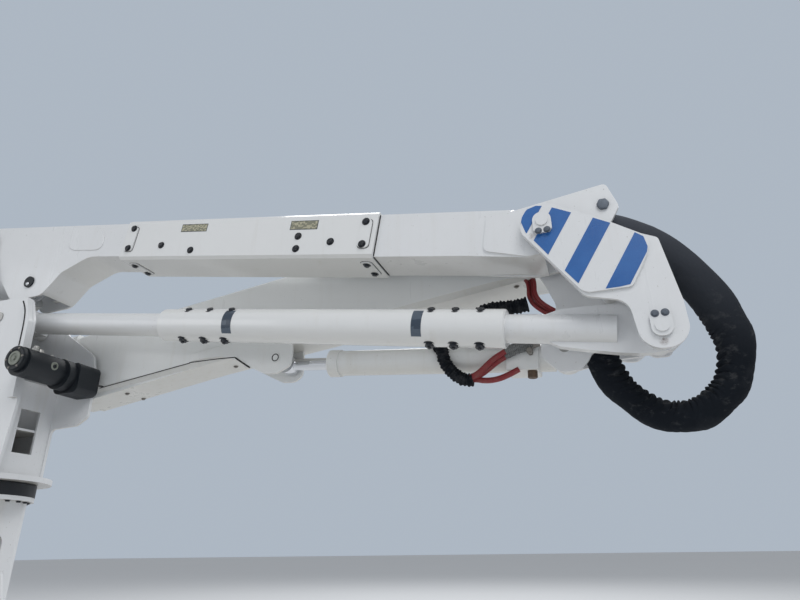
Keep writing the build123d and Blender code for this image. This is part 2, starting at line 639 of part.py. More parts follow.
def upper_boom_outer():
    """Outer section: deep box with bevelled lower edges, open at both ends."""
    w = UPPER_WALL
    shell = beam(UPPER_REAR, UPPER_FRONT, UPPER_RIGHT, UPPER_LEFT, UPPER_BOTTOM, UPPER_TOP, 12, UPPER_EDGE)
    room = beam(UPPER_REAR - 20, UPPER_FRONT + 20, UPPER_RIGHT + w, UPPER_LEFT - w, UPPER_BOTTOM + w,
                UPPER_TOP - w, 4, UPPER_EDGE - 4)
    body = on_axis(shell - room, PIN_E, UPPER_SLOPE)
    cheek = [upper_point(-700, 120) + (0,), upper_point(-120, 110) + (110,), upper_point(118, 100) + (110,),
             upper_point(118, -100) + (110,), upper_point(-140, -100) + (80,),
             upper_point(-480, UPPER_BOTTOM + UPPER_EDGE) + (0,),
             upper_point(-700, UPPER_BOTTOM + UPPER_EDGE) + (0,)]
    reach = 18.0
    for middle, side in ((UPPER_RIGHT, 1), (UPPER_LEFT, -1)):
        a, b = sorted((middle, middle + side * w))
        body = body + plate(cheek, a, b)
        a, b = sorted((middle - side * reach, middle + side * (w + 14)))
        body = body + disc(PIN_E, 80, a, b)
    rear = UPPER_REAR + COLLAR
    deep, long = KEEL
    keel = plate([upper_point(rear, UPPER_BOTTOM) + (0,), upper_point(rear, UPPER_BOTTOM - deep) + (0,),
                  upper_point(rear + long, UPPER_BOTTOM) + (0,)], UPPER_RIGHT + UPPER_EDGE, UPPER_LEFT - UPPER_EDGE)
    return (body + keel) - disc(PIN_E, UPPER_PIN + PIN_FIT, 100, 600)


def cylinder_lug():
    """Two plates that carry the rod eye's pin: one proud of the right side, one under the boom."""
    low = UPPER_BOTTOM - LUG_DROP
    seam = UPPER_BOTTOM + UPPER_EDGE
    tail = [(0, low - 84, 60), (-70, low - 70, 40), (-156, low - 12, 80), (-249, seam - 46, 60),
            (-322, seam - 17, 80), (-408, seam - 2, 60), (-520, seam + 5, 4)]
    shell = on_axis(beam(UPPER_REAR, UPPER_FRONT, UPPER_RIGHT, UPPER_LEFT, UPPER_BOTTOM, UPPER_TOP, 12,
                         UPPER_EDGE), PIN_E, UPPER_SLOPE)
    plates = []
    for front, right in ((96, LUG_RIGHT), (66, LUG_LEFT - LUG_PLATE)):
        rows = [(-520, seam + 45, 20), (front, seam + 45, 20), (front, low + 20, 20), (front - 16, low - 60, 40)]
        outline = [upper_point(LUG_STATION + x, above) + (r,) for x, above, r in rows + tail]
        plates.append(plate(outline, right, right + LUG_PLATE) - shell)
    return plates


def lug_caps():
    """Ends of the pin outside the lug's plates."""
    return [disc(PIN_L, CYLINDER_PIN, LUG_RIGHT - LUG_CAP, LUG_RIGHT),
            disc(PIN_L, CYLINDER_PIN, LUG_LEFT, LUG_LEFT + LUG_CAP)]


def collar():
    """Bolted collar round the open end, behind which the slide pads sit."""
    a = UPPER_REAR
    grow = 14.0
    ring = beam(a, a + COLLAR, UPPER_RIGHT - grow, UPPER_LEFT + grow, UPPER_BOTTOM - grow, UPPER_TOP + grow, 16,
                UPPER_EDGE + 4)
    bore = beam(a - 10, a + COLLAR + 10, UPPER_RIGHT, UPPER_LEFT, UPPER_BOTTOM, UPPER_TOP, 12, UPPER_EDGE)
    return on_axis(ring - bore, PIN_E, UPPER_SLOPE)


# Telescoping section

def inner_bounds():
    gap = UPPER_WALL + INNER_GAP
    return (UPPER_RIGHT + gap, UPPER_LEFT - gap, UPPER_BOTTOM + gap, UPPER_TOP - gap)


def extension_tube():
    """Fibreglass section that slides in the outer one."""
    y0, y1, z0, z1 = inner_bounds()
    w = INNER_WALL
    edge = UPPER_EDGE - 4
    shell = beam(INNER_REAR, INNER_FRONT, y0, y1, z0, z1, 14, edge)
    room = beam(INNER_REAR - 20, INNER_FRONT + 20, y0 + w, y1 - w, z0 + w, z1 - w, 8, edge - 8)
    return on_axis(shell - room, PIN_E, UPPER_SLOPE)


def tip_pin():
    return upper_point(INNER_REAR - TIP_REACH, 40)


def boom_tip():
    """Steel end of the telescoping section, with the levelling fork."""
    y0, y1, z0, z1 = inner_bounds()
    w = INNER_WALL
    plug = beam(INNER_REAR - 20, INNER_REAR + 120, y0 + w, y1 - w, z0 + w, z1 - w, 8, UPPER_EDGE - 12)
    flange = beam(INNER_REAR - 20, INNER_REAR, y0, y1, z0, z1, 14, UPPER_EDGE - 4)
    body = on_axis(plug + flange, PIN_E, UPPER_SLOPE)
    pin = tip_pin()
    rows = [upper_point(INNER_REAR, 130) + (0,), (pin[0] - 60, pin[1] + 62, 60), (pin[0] - 62, pin[1] - 62, 60),
            upper_point(INNER_REAR, -90) + (0,)]
    for y in (UPPER_MIDDLE - 82, UPPER_MIDDLE + 68):
        body = body + plate(rows, y, y + 14)
    return body - tip_pin_solid()


def tip_pin_solid():
    return disc(tip_pin(), LEVEL_PIN, UPPER_MIDDLE - 84, UPPER_MIDDLE + 84)


def slide_pads():
    """Wear pads between the sections, fixed in the outer one's open end."""
    y0, y1, z0, z1 = inner_bounds()
    a = UPPER_REAR + 15
    pads = []
    for x in (a, a + 300):
        for y in (y0 - SLIDE_PAD - 1, y1 + 1):
            pads.append(box_between(x, x + 120, y, y + SLIDE_PAD, -40, 60))
        pads.append(box_between(x, x + 120, y0 + 60, y1 - 60, z0 - SLIDE_PAD - 1, z0 - 1))
        pads.append(box_between(x, x + 120, y0 + 60, y1 - 60, z1 + 1, z1 + 1 + SLIDE_PAD))
    return [on_axis(p, PIN_E, UPPER_SLOPE) for p in pads]


# Platform

def basket_box():
    """Outer bounds of the platform: x, y and z from and to."""
    pin = tip_pin()
    x1 = pin[0] - BASKET_OFF
    y = UPPER_MIDDLE
    z1 = pin[1] + 330
    return (x1 - BASKET[0], x1, y - BASKET[1] / 2, y + BASKET[1] / 2, z1 - BASKET[2], z1)


def basket():
    """Fibreglass platform: tapered tub with a rolled lip and a stepped side."""
    x0, x1, y0, y1, z0, z1 = basket_box()
    middle = Vector((x0 + x1) / 2, (y0 + y1) / 2, z0)
    lean = 26.0

    def tub(inset, floor):
        low = Plane(middle + Vector(0, 0, floor)) * RectangleRounded(
            BASKET[0] - 2 * (inset + lean), BASKET[1] - 2 * (inset + lean), 70 - inset)
        high = Plane(middle + Vector(0, 0, BASKET[2])) * RectangleRounded(
            BASKET[0] - 2 * inset - 2 * BASKET_LIP, BASKET[1] - 2 * inset - 2 * BASKET_LIP, 70 - inset)
        return loft([low.face(), high.face()])

    lip = Plane(middle + Vector(0, 0, BASKET[2] - 26)) * RectangleRounded(BASKET[0], BASKET[1], 90)
    lip = extrude(lip, amount=26)
    return (tub(0, 0) + lip) - tub(BASKET_WALL, BASKET_WALL + 6)


def bracket():
    """Levelling arm on the tip's pin, with the frame that the platform bolts to."""
    pin = tip_pin()
    x0, x1, y0, y1, z0, z1 = basket_box()
    rows = [(pin[0] - 52, pin[1] + 50, 40), (pin[0] + 48, pin[1] + 50, 48), (pin[0] + 48, pin[1] - 48, 48),
            (x1 + 70, pin[1] - 130, 30), (x1 + 70, pin[1] + 90, 30)]
    arm = plate(rows, UPPER_MIDDLE - 64, UPPER_MIDDLE + 64)
    arm = arm - disc(pin, LEVEL_PIN + PIN_FIT, 0, 600)
    back = box_between(x1 + 40, x1 + 90, UPPER_MIDDLE - 190, UPPER_MIDDLE + 190, pin[1] - 190, pin[1] + 150)
    back = fillet(back.edges().filter_by(Axis.X), 40)
    foot = box_between(x1 + 2, x1 + 46, UPPER_MIDDLE - 150, UPPER_MIDDLE + 150, pin[1] - 160, pin[1] + 120)
    post = box_between(x1 + 45, x1 + 85, UPPER_MIDDLE - 60, UPPER_MIDDLE + 60, pin[1] + 130, z1)
    return fuse([arm, back, foot, post])


def controls():
    """Upper control box on the platform's lip."""
    x0, x1, y0, y1, z0, z1 = basket_box()
    box = box_between(x1 - 12, x1 + 148, UPPER_MIDDLE - 130, UPPER_MIDDLE + 130, z1, z1 + 150)
    box = fillet(box.edges().filter_by(Axis.Y), 26)
    lever = []
    for y in (-70, 0, 70):
        lever.append(Cylinder(9, 70).moved(Location((x1 + 60, UPPER_MIDDLE + y, z1 + 185))))
    return fuse([box] + lever)


# Cylinders

def cylinder_barrel(base, eye, radius, rod_radius, y, length, half):
    """Barrel with base eye and gland, its bore open to the rod."""
    a = Vector(base[0], 0, base[1])
    b = Vector(eye[0], 0, eye[1])
    d = (b - a).normalized()
    at = lambda s: ((a + d * s).X, (a + d * s).Z)
    barrel = tube_between(at(52), at(length), radius, y)
    gland = tube_between(at(length - 46), at(length + 12), radius + 6, y)
    bore = tube_between(at(120), at(length + 40), rod_radius + 1.0, y)
    head = disc(base, radius + 4, y - half, y + half)
    body = fuse([barrel, gland, head]) - bore
    return body - disc(base, CYLINDER_PIN + PIN_FIT, y - 200, y + 200)


def cylinder_rod(base, eye, radius, y, length, inside, eye_radius, half, pin_ends):
    """Chrome rod with its eye; the eye carries the middle of its own pin."""
    a = Vector(base[0], 0, base[1])
    b = Vector(eye[0], 0, eye[1])
    d = (b - a).normalized()
    start = a + d * (length - inside)
    rod = tube_between((start.X, start.Z), eye, radius, y)
    return fuse([rod, disc(eye, eye_radius, y - half, y + half),
                 disc(eye, CYLINDER_PIN, *pin_ends)])


def build():
    front_web, back_tube, flange = turn_webs()
    upper_y = UPPER_MIDDLE
    upper_barrel = (PIN_G, PIN_L, BARREL_RADIUS, ROD_RADIUS, upper_y, UPPER_BARREL, 50.0)
    upper_ends = (LUG_RIGHT + LUG_PLATE + ROD_GAP, LUG_LEFT - LUG_PLATE - ROD_GAP)
    upper_rod = (PIN_G, PIN_L, ROD_RADIUS, upper_y, UPPER_BARREL, UPPER_ROD_INSIDE, UPPER_EYE_RADIUS,
                 UPPER_EYE_HALF, upper_ends)
    lift_barrel = (PIN_Q, PIN_P, LIFT_BARREL_RADIUS, LIFT_ROD_RADIUS, 0.0, LIFT_BARREL, 60.0)
    lift_pin = LIFT_BOSS - ROD_GAP
    lift_rod = (PIN_Q, PIN_P, LIFT_ROD_RADIUS, 0.0, LIFT_BARREL, LIFT_ROD_INSIDE, EYE_RADIUS, lift_pin,
                (-lift_pin, lift_pin))
    nodes = {
        "pedestal": pedestal(),
        "slewing_ring": ring_lower(),
        "turntable_deck": turn_deck(),
        "turntable_side_right": turn_side_right(),
        "turntable_side_left": turn_side_left(),
        "turntable_webs": Compound(children=[front_web, back_tube, flange]),
        "turntable_pins": Compound(children=turn_pins()),
        "rotation_drive": rotation_drive(),
        "auxiliary_pump": auxiliary_pump(),
        "lower_boom_rear": lower_boom_rear(),
        "lower_boom_insert": lower_boom_insert(),
        "lower_boom_head": lower_boom_head(),
        "lower_boom_pads": Compound(children=lower_boom_pads()),
        "lift_pin_ends": Compound(children=lift_pin_caps()),
        "link_rear": link_rear(),
        "link_insert": link_insert(),
        "link_front": link_front(),
        "elbow_plate_right": elbow_right(),
        "elbow_plate_inner": elbow_inner(),
        "elbow_plate_middle": elbow_middle(),
        "elbow_plate_left": elbow_left(),
        "elbow_plate_base": elbow_base(),
        "elbow_cross_tubes": Compound(children=elbow_tubes()),
        "elbow_pins": Compound(children=elbow_pins()),
        "pin_keepers": Compound(children=[keeper(PIN_A, 0, RIGHT_PLATE - DOUBLER), keeper(PIN_B, 180, RIGHT_PLATE)]),
        "hose_loop": hose(HOSE_POINTS, HOSE_RADIUS),
        "upper_boom_outer": upper_boom_outer(),
        "upper_boom_collar": collar(),
        "upper_cylinder_lug": Compound(children=cylinder_lug()),
        "lug_pin_ends": Compound(children=lug_caps()),
        "slide_pads": Compound(children=slide_pads()),
        "extension_tube": extension_tube(),
        "boom_tip": boom_tip(),
        "levelling_pin": tip_pin_solid(),
        "platform": basket(),
        "platform_bracket": bracket(),
        "platform_controls": controls(),
        "upper_cylinder_barrel": cylinder_barrel(*upper_barrel),
        "upper_cylinder_rod": cylinder_rod(*upper_rod),
        "lift_cylinder_barrel": cylinder_barrel(*lift_barrel),
        "lift_cylinder_rod": cylinder_rod(*lift_rod),
    }
    os.makedirs("parts", exist_ok=True)
    for name, shape in nodes.items():
        export_step(shape, f"parts/{name}.step")
    for name, pin in (("C", PIN_C), ("D", PIN_D), ("L", PIN_L), ("P", PIN_P), ("Q", PIN_Q), ("tip", tip_pin())):
        print("pin", name, [round(v, 3) for v in pin])


if __name__ == "__main__":
    build()
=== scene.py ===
"""Looks of an articulated aerial lift boom, stowed, on its pedestal.

Metres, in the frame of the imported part: origin at the base bolts, +X to the truck's front, +Y to its left.
"""
from math import cos, pi, radians, sin

import bmesh
import bpy
import numpy as np
from mathutils import Euler, Matrix, Vector


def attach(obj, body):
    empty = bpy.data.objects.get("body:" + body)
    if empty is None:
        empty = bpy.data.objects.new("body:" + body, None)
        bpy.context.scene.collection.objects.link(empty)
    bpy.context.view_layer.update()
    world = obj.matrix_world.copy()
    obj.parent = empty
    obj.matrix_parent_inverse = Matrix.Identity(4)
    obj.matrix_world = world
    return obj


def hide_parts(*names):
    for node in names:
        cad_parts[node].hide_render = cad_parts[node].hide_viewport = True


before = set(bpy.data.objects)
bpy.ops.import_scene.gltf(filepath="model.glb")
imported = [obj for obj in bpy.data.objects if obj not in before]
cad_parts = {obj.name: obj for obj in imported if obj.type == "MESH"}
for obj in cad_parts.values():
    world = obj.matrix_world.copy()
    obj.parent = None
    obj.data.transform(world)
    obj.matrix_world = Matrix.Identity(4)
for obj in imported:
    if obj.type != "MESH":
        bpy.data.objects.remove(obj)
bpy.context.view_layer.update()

# Studio: a pale floor under the base bolts, a pale even surround and three soft lamps.
# The camera stands beside the boom's front end and looks up at it, as the photograph does.
scene = bpy.context.scene
scene.view_settings.view_transform = "Standard"

CAMERA_PLACE = (3.30, -2.38, 0.50)
CAMERA_TURN = (radians(112.964), radians(0.7366), radians(19.122))
camera = bpy.data.objects.new("camera", bpy.data.cameras.new("camera"))
camera.data.lens = 26.55
camera.data.sensor_width = 36.0
camera.data.clip_end = 200.0
camera.matrix_world = Matrix.Translation(CAMERA_PLACE) @ Euler(CAMERA_TURN, "XYZ").to_matrix().to_4x4()
scene.collection.objects.link(camera)
scene.camera = camera

LAMP_TARGET = Vector((1.6, 0.2, 1.4))
LAMPS = (("key", (5.5, -4.5, 6.5), 4.0, 190.0), ("fill", (-3.5, -5.0, 2.5), 4.0, 55.0),
         ("back", (2.0, 4.0, 6.0), 5.0, 220.0))
for name, place, size, watts in LAMPS:
    lamp = bpy.data.objects.new(name, bpy.data.lights.new(name, "AREA"))
    lamp.data.size = size
    lamp.data.energy = watts
    lamp.location = place
    lamp.rotation_euler = (LAMP_TARGET - Vector(place)).to_track_quat("-Z", "Y").to_euler()
    scene.collection.objects.link(lamp)


class Value:
    """A shader socket's value; an expression on values, with + and *, adds its Math nodes."""

    def __init__(self, finish, socket):
        self.finish = finish
        self.socket = socket

    def maths(self, operation, *terms):
        """Adds one Math node."""
        return self.finish.node("ShaderNodeMath", {"operation": operation}, dict(enumerate(terms)))

    def __add__(self, other):
        return self.maths("ADD", self, other)

    def __radd__(self, other):
        return self.maths("ADD", other, self)

    def __mul__(self, other):
        return self.maths("MULTIPLY", self, other)

    def __rmul__(self, other):
        return self.maths("MULTIPLY", other, self)

    def within(self, low, high):
        """0 at low, 1 at high, held between."""
        return self.finish.node("ShaderNodeMapRange", {"clamp": True},
                                {"Value": self, "From Min": low, "From Max": high})


class Finish:
    """The surface of one kind of piece: a principled shader and the nodes that feed it."""

    def __init__(self, name, roughness=0.5, metallic=0.0, coat=0.0, coat_roughness=0.1):
        self.material = bpy.data.materials.new(name)
        self.material.use_nodes = True
        self.tree = self.material.node_tree
        self.shader = self.tree.nodes["Principled BSDF"]
        self.set("Roughness", roughness)
        self.set("Metallic", metallic)
        self.set("Coat Weight", coat)
        self.set("Coat Roughness", coat_roughness)

    def node(self, kind, settings, sockets, output=0):
        """Adds one node: its settings first, then its sockets' values or links."""
        made = self.tree.nodes.new(kind)
        for key, value in settings.items():
            setattr(made, key, value)
        for key, value in sockets.items():
            if isinstance(value, Value):
                self.tree.links.new(value.socket, made.inputs[key])
            else:
                made.inputs[key].default_value = value
        return Value(self, made.outputs[output])

    def set(self, key, value):
        """Feeds one of the shader's own sockets."""
        if isinstance(value, Value):
            self.tree.links.new(value.socket, self.shader.inputs[key])
        else:
            self.shader.inputs[key].default_value = value

    def place(self, scale=(1.0, 1.0, 1.0)):
        """Object coordinates, stretched."""
        at = self.node("ShaderNodeTexCoord", {}, {}, 3)
        return self.node("ShaderNodeMapping", {}, {"Vector": at, "Scale": scale})

    def looking_down(self):
        """0 on faces that look sideways or up, 1 on those that look straight down."""
        normal = self.node("ShaderNodeTexCoord", {}, {}, 1)
        return (self.node("ShaderNodeSeparateXYZ", {}, {0: normal}, 2) * -1.0).within(0.2, 1.0)

    def noise(self, at, scale, detail=3.0, rough=0.55):
        """Adds one Noise node and gives its grey value."""
        return self.node("ShaderNodeTexNoise", {}, {"Vector": at, "Scale": scale, "Detail": detail,
                                                    "Roughness": rough})

    def mix(self, share, one, other):
        """Colour between one and other, by a share from 0 to 1."""
        a = one if isinstance(one, Value) else (*one, 1.0)
        b = other if isinstance(other, Value) else (*other, 1.0)
        return self.node("ShaderNodeMix", {"data_type": "RGBA"}, {0: share, 6: a, 7: b}, 2)

    def bump(self, *layers):
        """Normal from heights in metres, as (value, height) pairs."""
        height = sum(value * tall for value, tall in layers)
        self.set("Normal", self.node("ShaderNodeBump", {}, {"Strength": 1.0, "Distance": 1.0, "Height": height}))


FLOOR_HALF = 60.0
floor_paint = Finish("studio_floor", roughness=0.9)
floor_cloud = floor_paint.noise(floor_paint.place(), 0.6)
floor_paint.set("Base Color", floor_paint.mix(floor_cloud, (0.70, 0.71, 0.72), (0.72, 0.73, 0.74)))
floor_corners = [(sx * FLOOR_HALF, sy * FLOOR_HALF, 0.0) for sx, sy in ((-1, -1), (1, -1), (1, 1), (-1, 1))]
floor_mesh = bpy.data.meshes.new("floor")
floor_mesh.from_pydata(floor_corners, [], [(0, 1, 2, 3)])
floor_mesh.materials.append(floor_paint.material)
floor = bpy.data.objects.new("floor", floor_mesh)
scene.collection.objects.link(floor)

SURROUND_LIGHT = (0.62, 0.65, 0.69, 1.0)
SURROUND_SEEN = (0.60, 0.68, 0.78, 1.0)
surround = bpy.data.worlds.new("surround")
surround.use_nodes = True
scene.world = surround
sky = surround.node_tree
seen = sky.nodes.new("ShaderNodeLightPath")
shown = sky.nodes.new("ShaderNodeMix")
shown.data_type = "RGBA"
shown.inputs[6].default_value = SURROUND_LIGHT
shown.inputs[7].default_value = SURROUND_SEEN
sky.links.new(seen.outputs["Is Camera Ray"], shown.inputs[0])
sky.links.new(shown.outputs[2], sky.nodes["Background"].inputs["Color"])
sky.nodes["Background"].inputs["Strength"].default_value = 0.70


# Hose loop: the hydraulic hoses and cables in one black woven sleeve, over the elbow and back below it.
# It is tied only at its two ends, so the sleeve is smooth where the bundle leaves the boom and gathers into
# folds inside the bend.
HOSE_ROUTE = [
    (3.290, 0.000, 1.800), (3.366, 0.000, 1.782), (3.456, 0.000, 1.742), (3.544, 0.000, 1.678),
    (3.624, 0.000, 1.596), (3.712, 0.010, 1.486), (3.778, 0.030, 1.366), (3.816, 0.050, 1.253),
    (3.816, 0.072, 1.150), (3.778, 0.100, 1.053), (3.700, 0.130, 0.981), (3.600, 0.162, 0.956),
    (3.505, 0.194, 0.990), (3.428, 0.218, 1.058), (3.372, 0.232, 1.140), (3.336, 0.236, 1.224),
    (3.326, 0.236, 1.300)]


def smooth_line(route, count, per_run=24):
    """Evenly spaced points of the NURBS spline that the route's points control."""
    curve = bpy.data.curves.new("route", "CURVE")
    curve.dimensions = "3D"
    spline = curve.splines.new("NURBS")
    spline.points.add(len(route) - 1)
    for point, at in zip(spline.points, route):
        point.co = (*at, 1.0)
    spline.order_u = 3
    spline.use_endpoint_u = True
    spline.resolution_u = per_run
    holder = bpy.data.objects.new("route", curve)
    line = bpy.data.meshes.new_from_object(holder)
    found = np.empty(len(line.vertices) * 3)
    line.vertices.foreach_get("co", found)
    bpy.data.objects.remove(holder)
    bpy.data.curves.remove(curve)
    bpy.data.meshes.remove(line)
    found = found.reshape(-1, 3)
    far = np.concatenate([[0.0], np.cumsum(np.linalg.norm(np.diff(found, axis=0), axis=1))])
    even = np.linspace(0.0, far[-1], count)
    return np.stack([np.interp(even, far, found[:, k]) for k in range(3)], axis=1), even


def unit(rows):
    """Each row divided by its length."""
    return rows / np.linalg.norm(rows, axis=-1, keepdims=True)


def cross_axes(line, upright):
    """Two directions square to a line at each of its points, the first square to upright too."""
    ahead = unit(np.gradient(line, axis=0))
    aside = unit(np.cross(ahead, np.asarray(upright, float)))
    return aside, np.cross(aside, ahead)


def round_the_line(line, upright, radius, columns):
    """Tube: each point plus radius times (cos of the turn along one cross axis, sin along the other)."""
    aside, over = cross_axes(line, upright)
    turn = np.linspace(0.0, 2 * pi, columns, endpoint=False)
    spread = np.broadcast_to(radius, (len(line), columns))[..., None]
    out = np.cos(turn)[None, :, None] * aside[:, None] + np.sin(turn)[None, :, None] * over[:, None]
    return line[:, None] + spread * out


def grid_quads(rows, columns):
    """Four corners of each cell of a grid whose columns close into a ring."""
    r, c = np.meshgrid(np.arange(rows - 1), np.arange(columns), indexing="ij")
    after = (c + 1) % columns
    cells = [r * columns + c, r * columns + after, (r + 1) * columns + after, (r + 1) * columns + c]
    return np.stack(cells, -1).reshape(-1, 4)


def add_piece(name, body, sheets, finish, crease=35.0, uv=None):
    """One object from grids of points, each (rows, columns, 3); doubled corners merge, faces turn outwards."""
    points = np.concatenate([s.reshape(-1, 3) for s in sheets])
    starts = np.cumsum([0] + [s.shape[0] * s.shape[1] for s in sheets[:-1]])
    quads = np.concatenate([grid_quads(*s.shape[:2]) + at for s, at in zip(sheets, starts)])
    mesh = bpy.data.meshes.new(name)
    mesh.from_pydata(points.tolist(), [], quads.tolist())
    if uv is not None:
        layer = mesh.uv_layers.new(name="run")
        corners = np.empty(len(mesh.loops), int)
        mesh.loops.foreach_get("vertex_index", corners)
        layer.data.foreach_set("uv", uv.reshape(-1, 2)[corners].astype(np.float32).ravel())
    work = bmesh.new()
    work.from_mesh(mesh)
    bmesh.ops.remove_doubles(work, verts=work.verts, dist=1e-6)
    bmesh.ops.dissolve_degenerate(work, edges=work.edges, dist=1e-7)
    bmesh.ops.recalc_face_normals(work, faces=work.faces)
    work.to_mesh(mesh)
    work.free()
    mesh.polygons.foreach_set("use_smooth", np.ones(len(mesh.polygons), bool))
    mesh.set_sharp_from_angle(angle=radians(crease))
    mesh.materials.append(finish.material)
    piece = bpy.data.objects.new(name, mesh)
    scene.collection.objects.link(piece)
    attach(piece, body)
    return piece


def closed_ends(rings):
    """The same rings with both ends drawn in to their middle."""
    first = np.broadcast_to(rings[0].mean(axis=0), rings[0].shape)
    last = np.broadcast_to(rings[-1].mean(axis=0), rings[-1].shape)
    return np.concatenate([first[None], rings, last[None]])


def ramp(values, start, length):
    """0 up to start, 1 from start + length on, straight between."""
    return np.clip((values - start) / length, 0.0, 1.0)


HOSE_ROWS = 700
HOSE_COLUMNS = 56
HOSE_RADIUS = 0.0605
HOSE_SWELL = 0.016
HOSE_FLARE = 0.009
FOLD_COUNT = 200
FOLD_PITCH = (0.018, 0.046)
FOLD_DEPTH = (0.30, 1.20)
FOLD_INSIDE = 0.0165
FOLD_ALL_ROUND = 0.0018
FACET = 0.0042
LUMPS = ((9, 1, 0.0024), (15, 2, 0.0018), (26, 3, 0.0012), (41, 4, 0.0008))
BEND_MIDDLE = np.array([3.56, 0.10, 1.31])
SIDEWAYS = (0.0, 1.0, 0.0)
hose_line, hose_far = smooth_line(HOSE_ROUTE, HOSE_ROWS)
share = hose_far / hose_far[-1]
aside, over = cross_axes(hose_line, SIDEWAYS)
turn = np.linspace(0.0, 2 * pi, HOSE_COLUMNS, endpoint=False)
inward = unit(BEND_MIDDLE - hose_line)
inner = (np.einsum("ij,ij->i", inward, aside)[:, None] * np.cos(turn)
         + np.einsum("ij,ij->i", inward, over)[:, None] * np.sin(turn))

# Folds come at uneven steps along the run, each slanting a little round the sleeve, deepest inside the bend.
rng = np.random.default_rng(7)
fold_at = np.cumsum(rng.uniform(*FOLD_PITCH, FOLD_COUNT))
fold_phase = np.interp(hose_far, fold_at, np.arange(FOLD_COUNT))
fold_depth = np.interp(hose_far, fold_at, rng.uniform(*FOLD_DEPTH, FOLD_COUNT))
fold_slant = np.sin(2.0 * turn)[None] * 0.42 + np.sin(3.0 * turn + 1.0)[None] * 0.24
fold = np.abs(np.sin(pi * (fold_phase[:, None] + fold_slant))) ** 0.55
fold_reach = FOLD_INSIDE * np.clip(inner, 0, 1) ** 1.1 + FOLD_ALL_ROUND
gather = ramp(share, 0.36, 0.16) * (1.0 - 0.35 * ramp(share, 0.92, 0.08))
wrinkle = gather[:, None] * fold_depth[:, None] * (fold - 0.6) * fold_reach
facets = FACET * gather[:, None] * np.sin(fold_phase[:, None] * 1.1) * np.clip(-inner, 0, 1)
lumps = np.zeros((HOSE_ROWS, HOSE_COLUMNS))
for waves, lobes, tall in LUMPS:
    along, around = rng.uniform(0, 2 * pi, 2)
    lumps += tall * np.sin(waves * hose_far[:, None] + along) * np.sin(lobes * turn[None] + around)
swell = HOSE_SWELL * ramp(share, 0.06, 0.12) * (1.0 - ramp(share, 0.42, 0.14))
swell = swell + HOSE_FLARE * ramp(share, 0.88, 0.07)
hose_reach = HOSE_RADIUS + swell[:, None] + wrinkle + lumps + facets
hose_rings = round_the_line(hose_line, SIDEWAYS, hose_reach, HOSE_COLUMNS)

WEAVE_SCALE = 110.0
sleeve = Finish("woven_sleeve", roughness=0.9)
sleeve.set("Specular IOR Level", 0.2)
run = sleeve.node("ShaderNodeUVMap", {"uv_map": "run"}, {})
lengthways = sleeve.node("ShaderNodeSeparateXYZ", {}, {0: run})
mirrored = sleeve.node("ShaderNodeMapping", {}, {"Vector": run, "Scale": (1.0, -1.0, 1.0)})
weft, warp = (sleeve.node("ShaderNodeTexWave", {"wave_type": "BANDS", "bands_direction": "DIAGONAL"},
                          {"Vector": at, "Scale": WEAVE_SCALE, "Distortion": 0.0}) for at in (run, mirrored))
weave = weft * warp
# Over the first part of its run, from the top, the sleeve is a lighter bluish grey and further on near black:
# painted light and painted shade.
run_light_to_shade = lengthways.within(0.1, 0.9)
dusty = sleeve.noise(sleeve.place(), 7.0, 6.0, 0.65)
smudge = sleeve.noise(sleeve.place((1.0, 1.0, 1.6)), 17.0, 5.0, 0.7).within(0.56, 0.72)
smudge = smudge * lengthways.within(0.45, 0.8)
painted_light_to_shade = sleeve.mix(run_light_to_shade, (0.080, 0.088, 0.105), (0.006, 0.009, 0.014))
worn = sleeve.mix(dusty.within(0.52, 0.78) * 0.3, painted_light_to_shade, (0.060, 0.063, 0.070))
dusted = sleeve.mix(smudge * 0.4, worn, (0.13, 0.13, 0.13))
sleeve.set("Base Color", sleeve.mix(weave * 0.35, dusted, (0.003, 0.003, 0.004)))
sleeve.set("Roughness", dusty * 0.12 + 0.82)
sleeve.bump((weave, 0.0006), (sleeve.noise(sleeve.place(), 60.0, 4.0), 0.0012))
hose_uv = np.stack(np.meshgrid(np.linspace(0.0, hose_far[-1], HOSE_ROWS + 2),
                               np.linspace(0.0, 2 * pi * HOSE_RADIUS, HOSE_COLUMNS, endpoint=False),
                               indexing="ij"), -1)
hose_loop = add_piece("hose_sleeve", "elbow", [closed_ends(hose_rings)], sleeve, crease=60.0,
                      uv=hose_uv)
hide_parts("hose_loop")


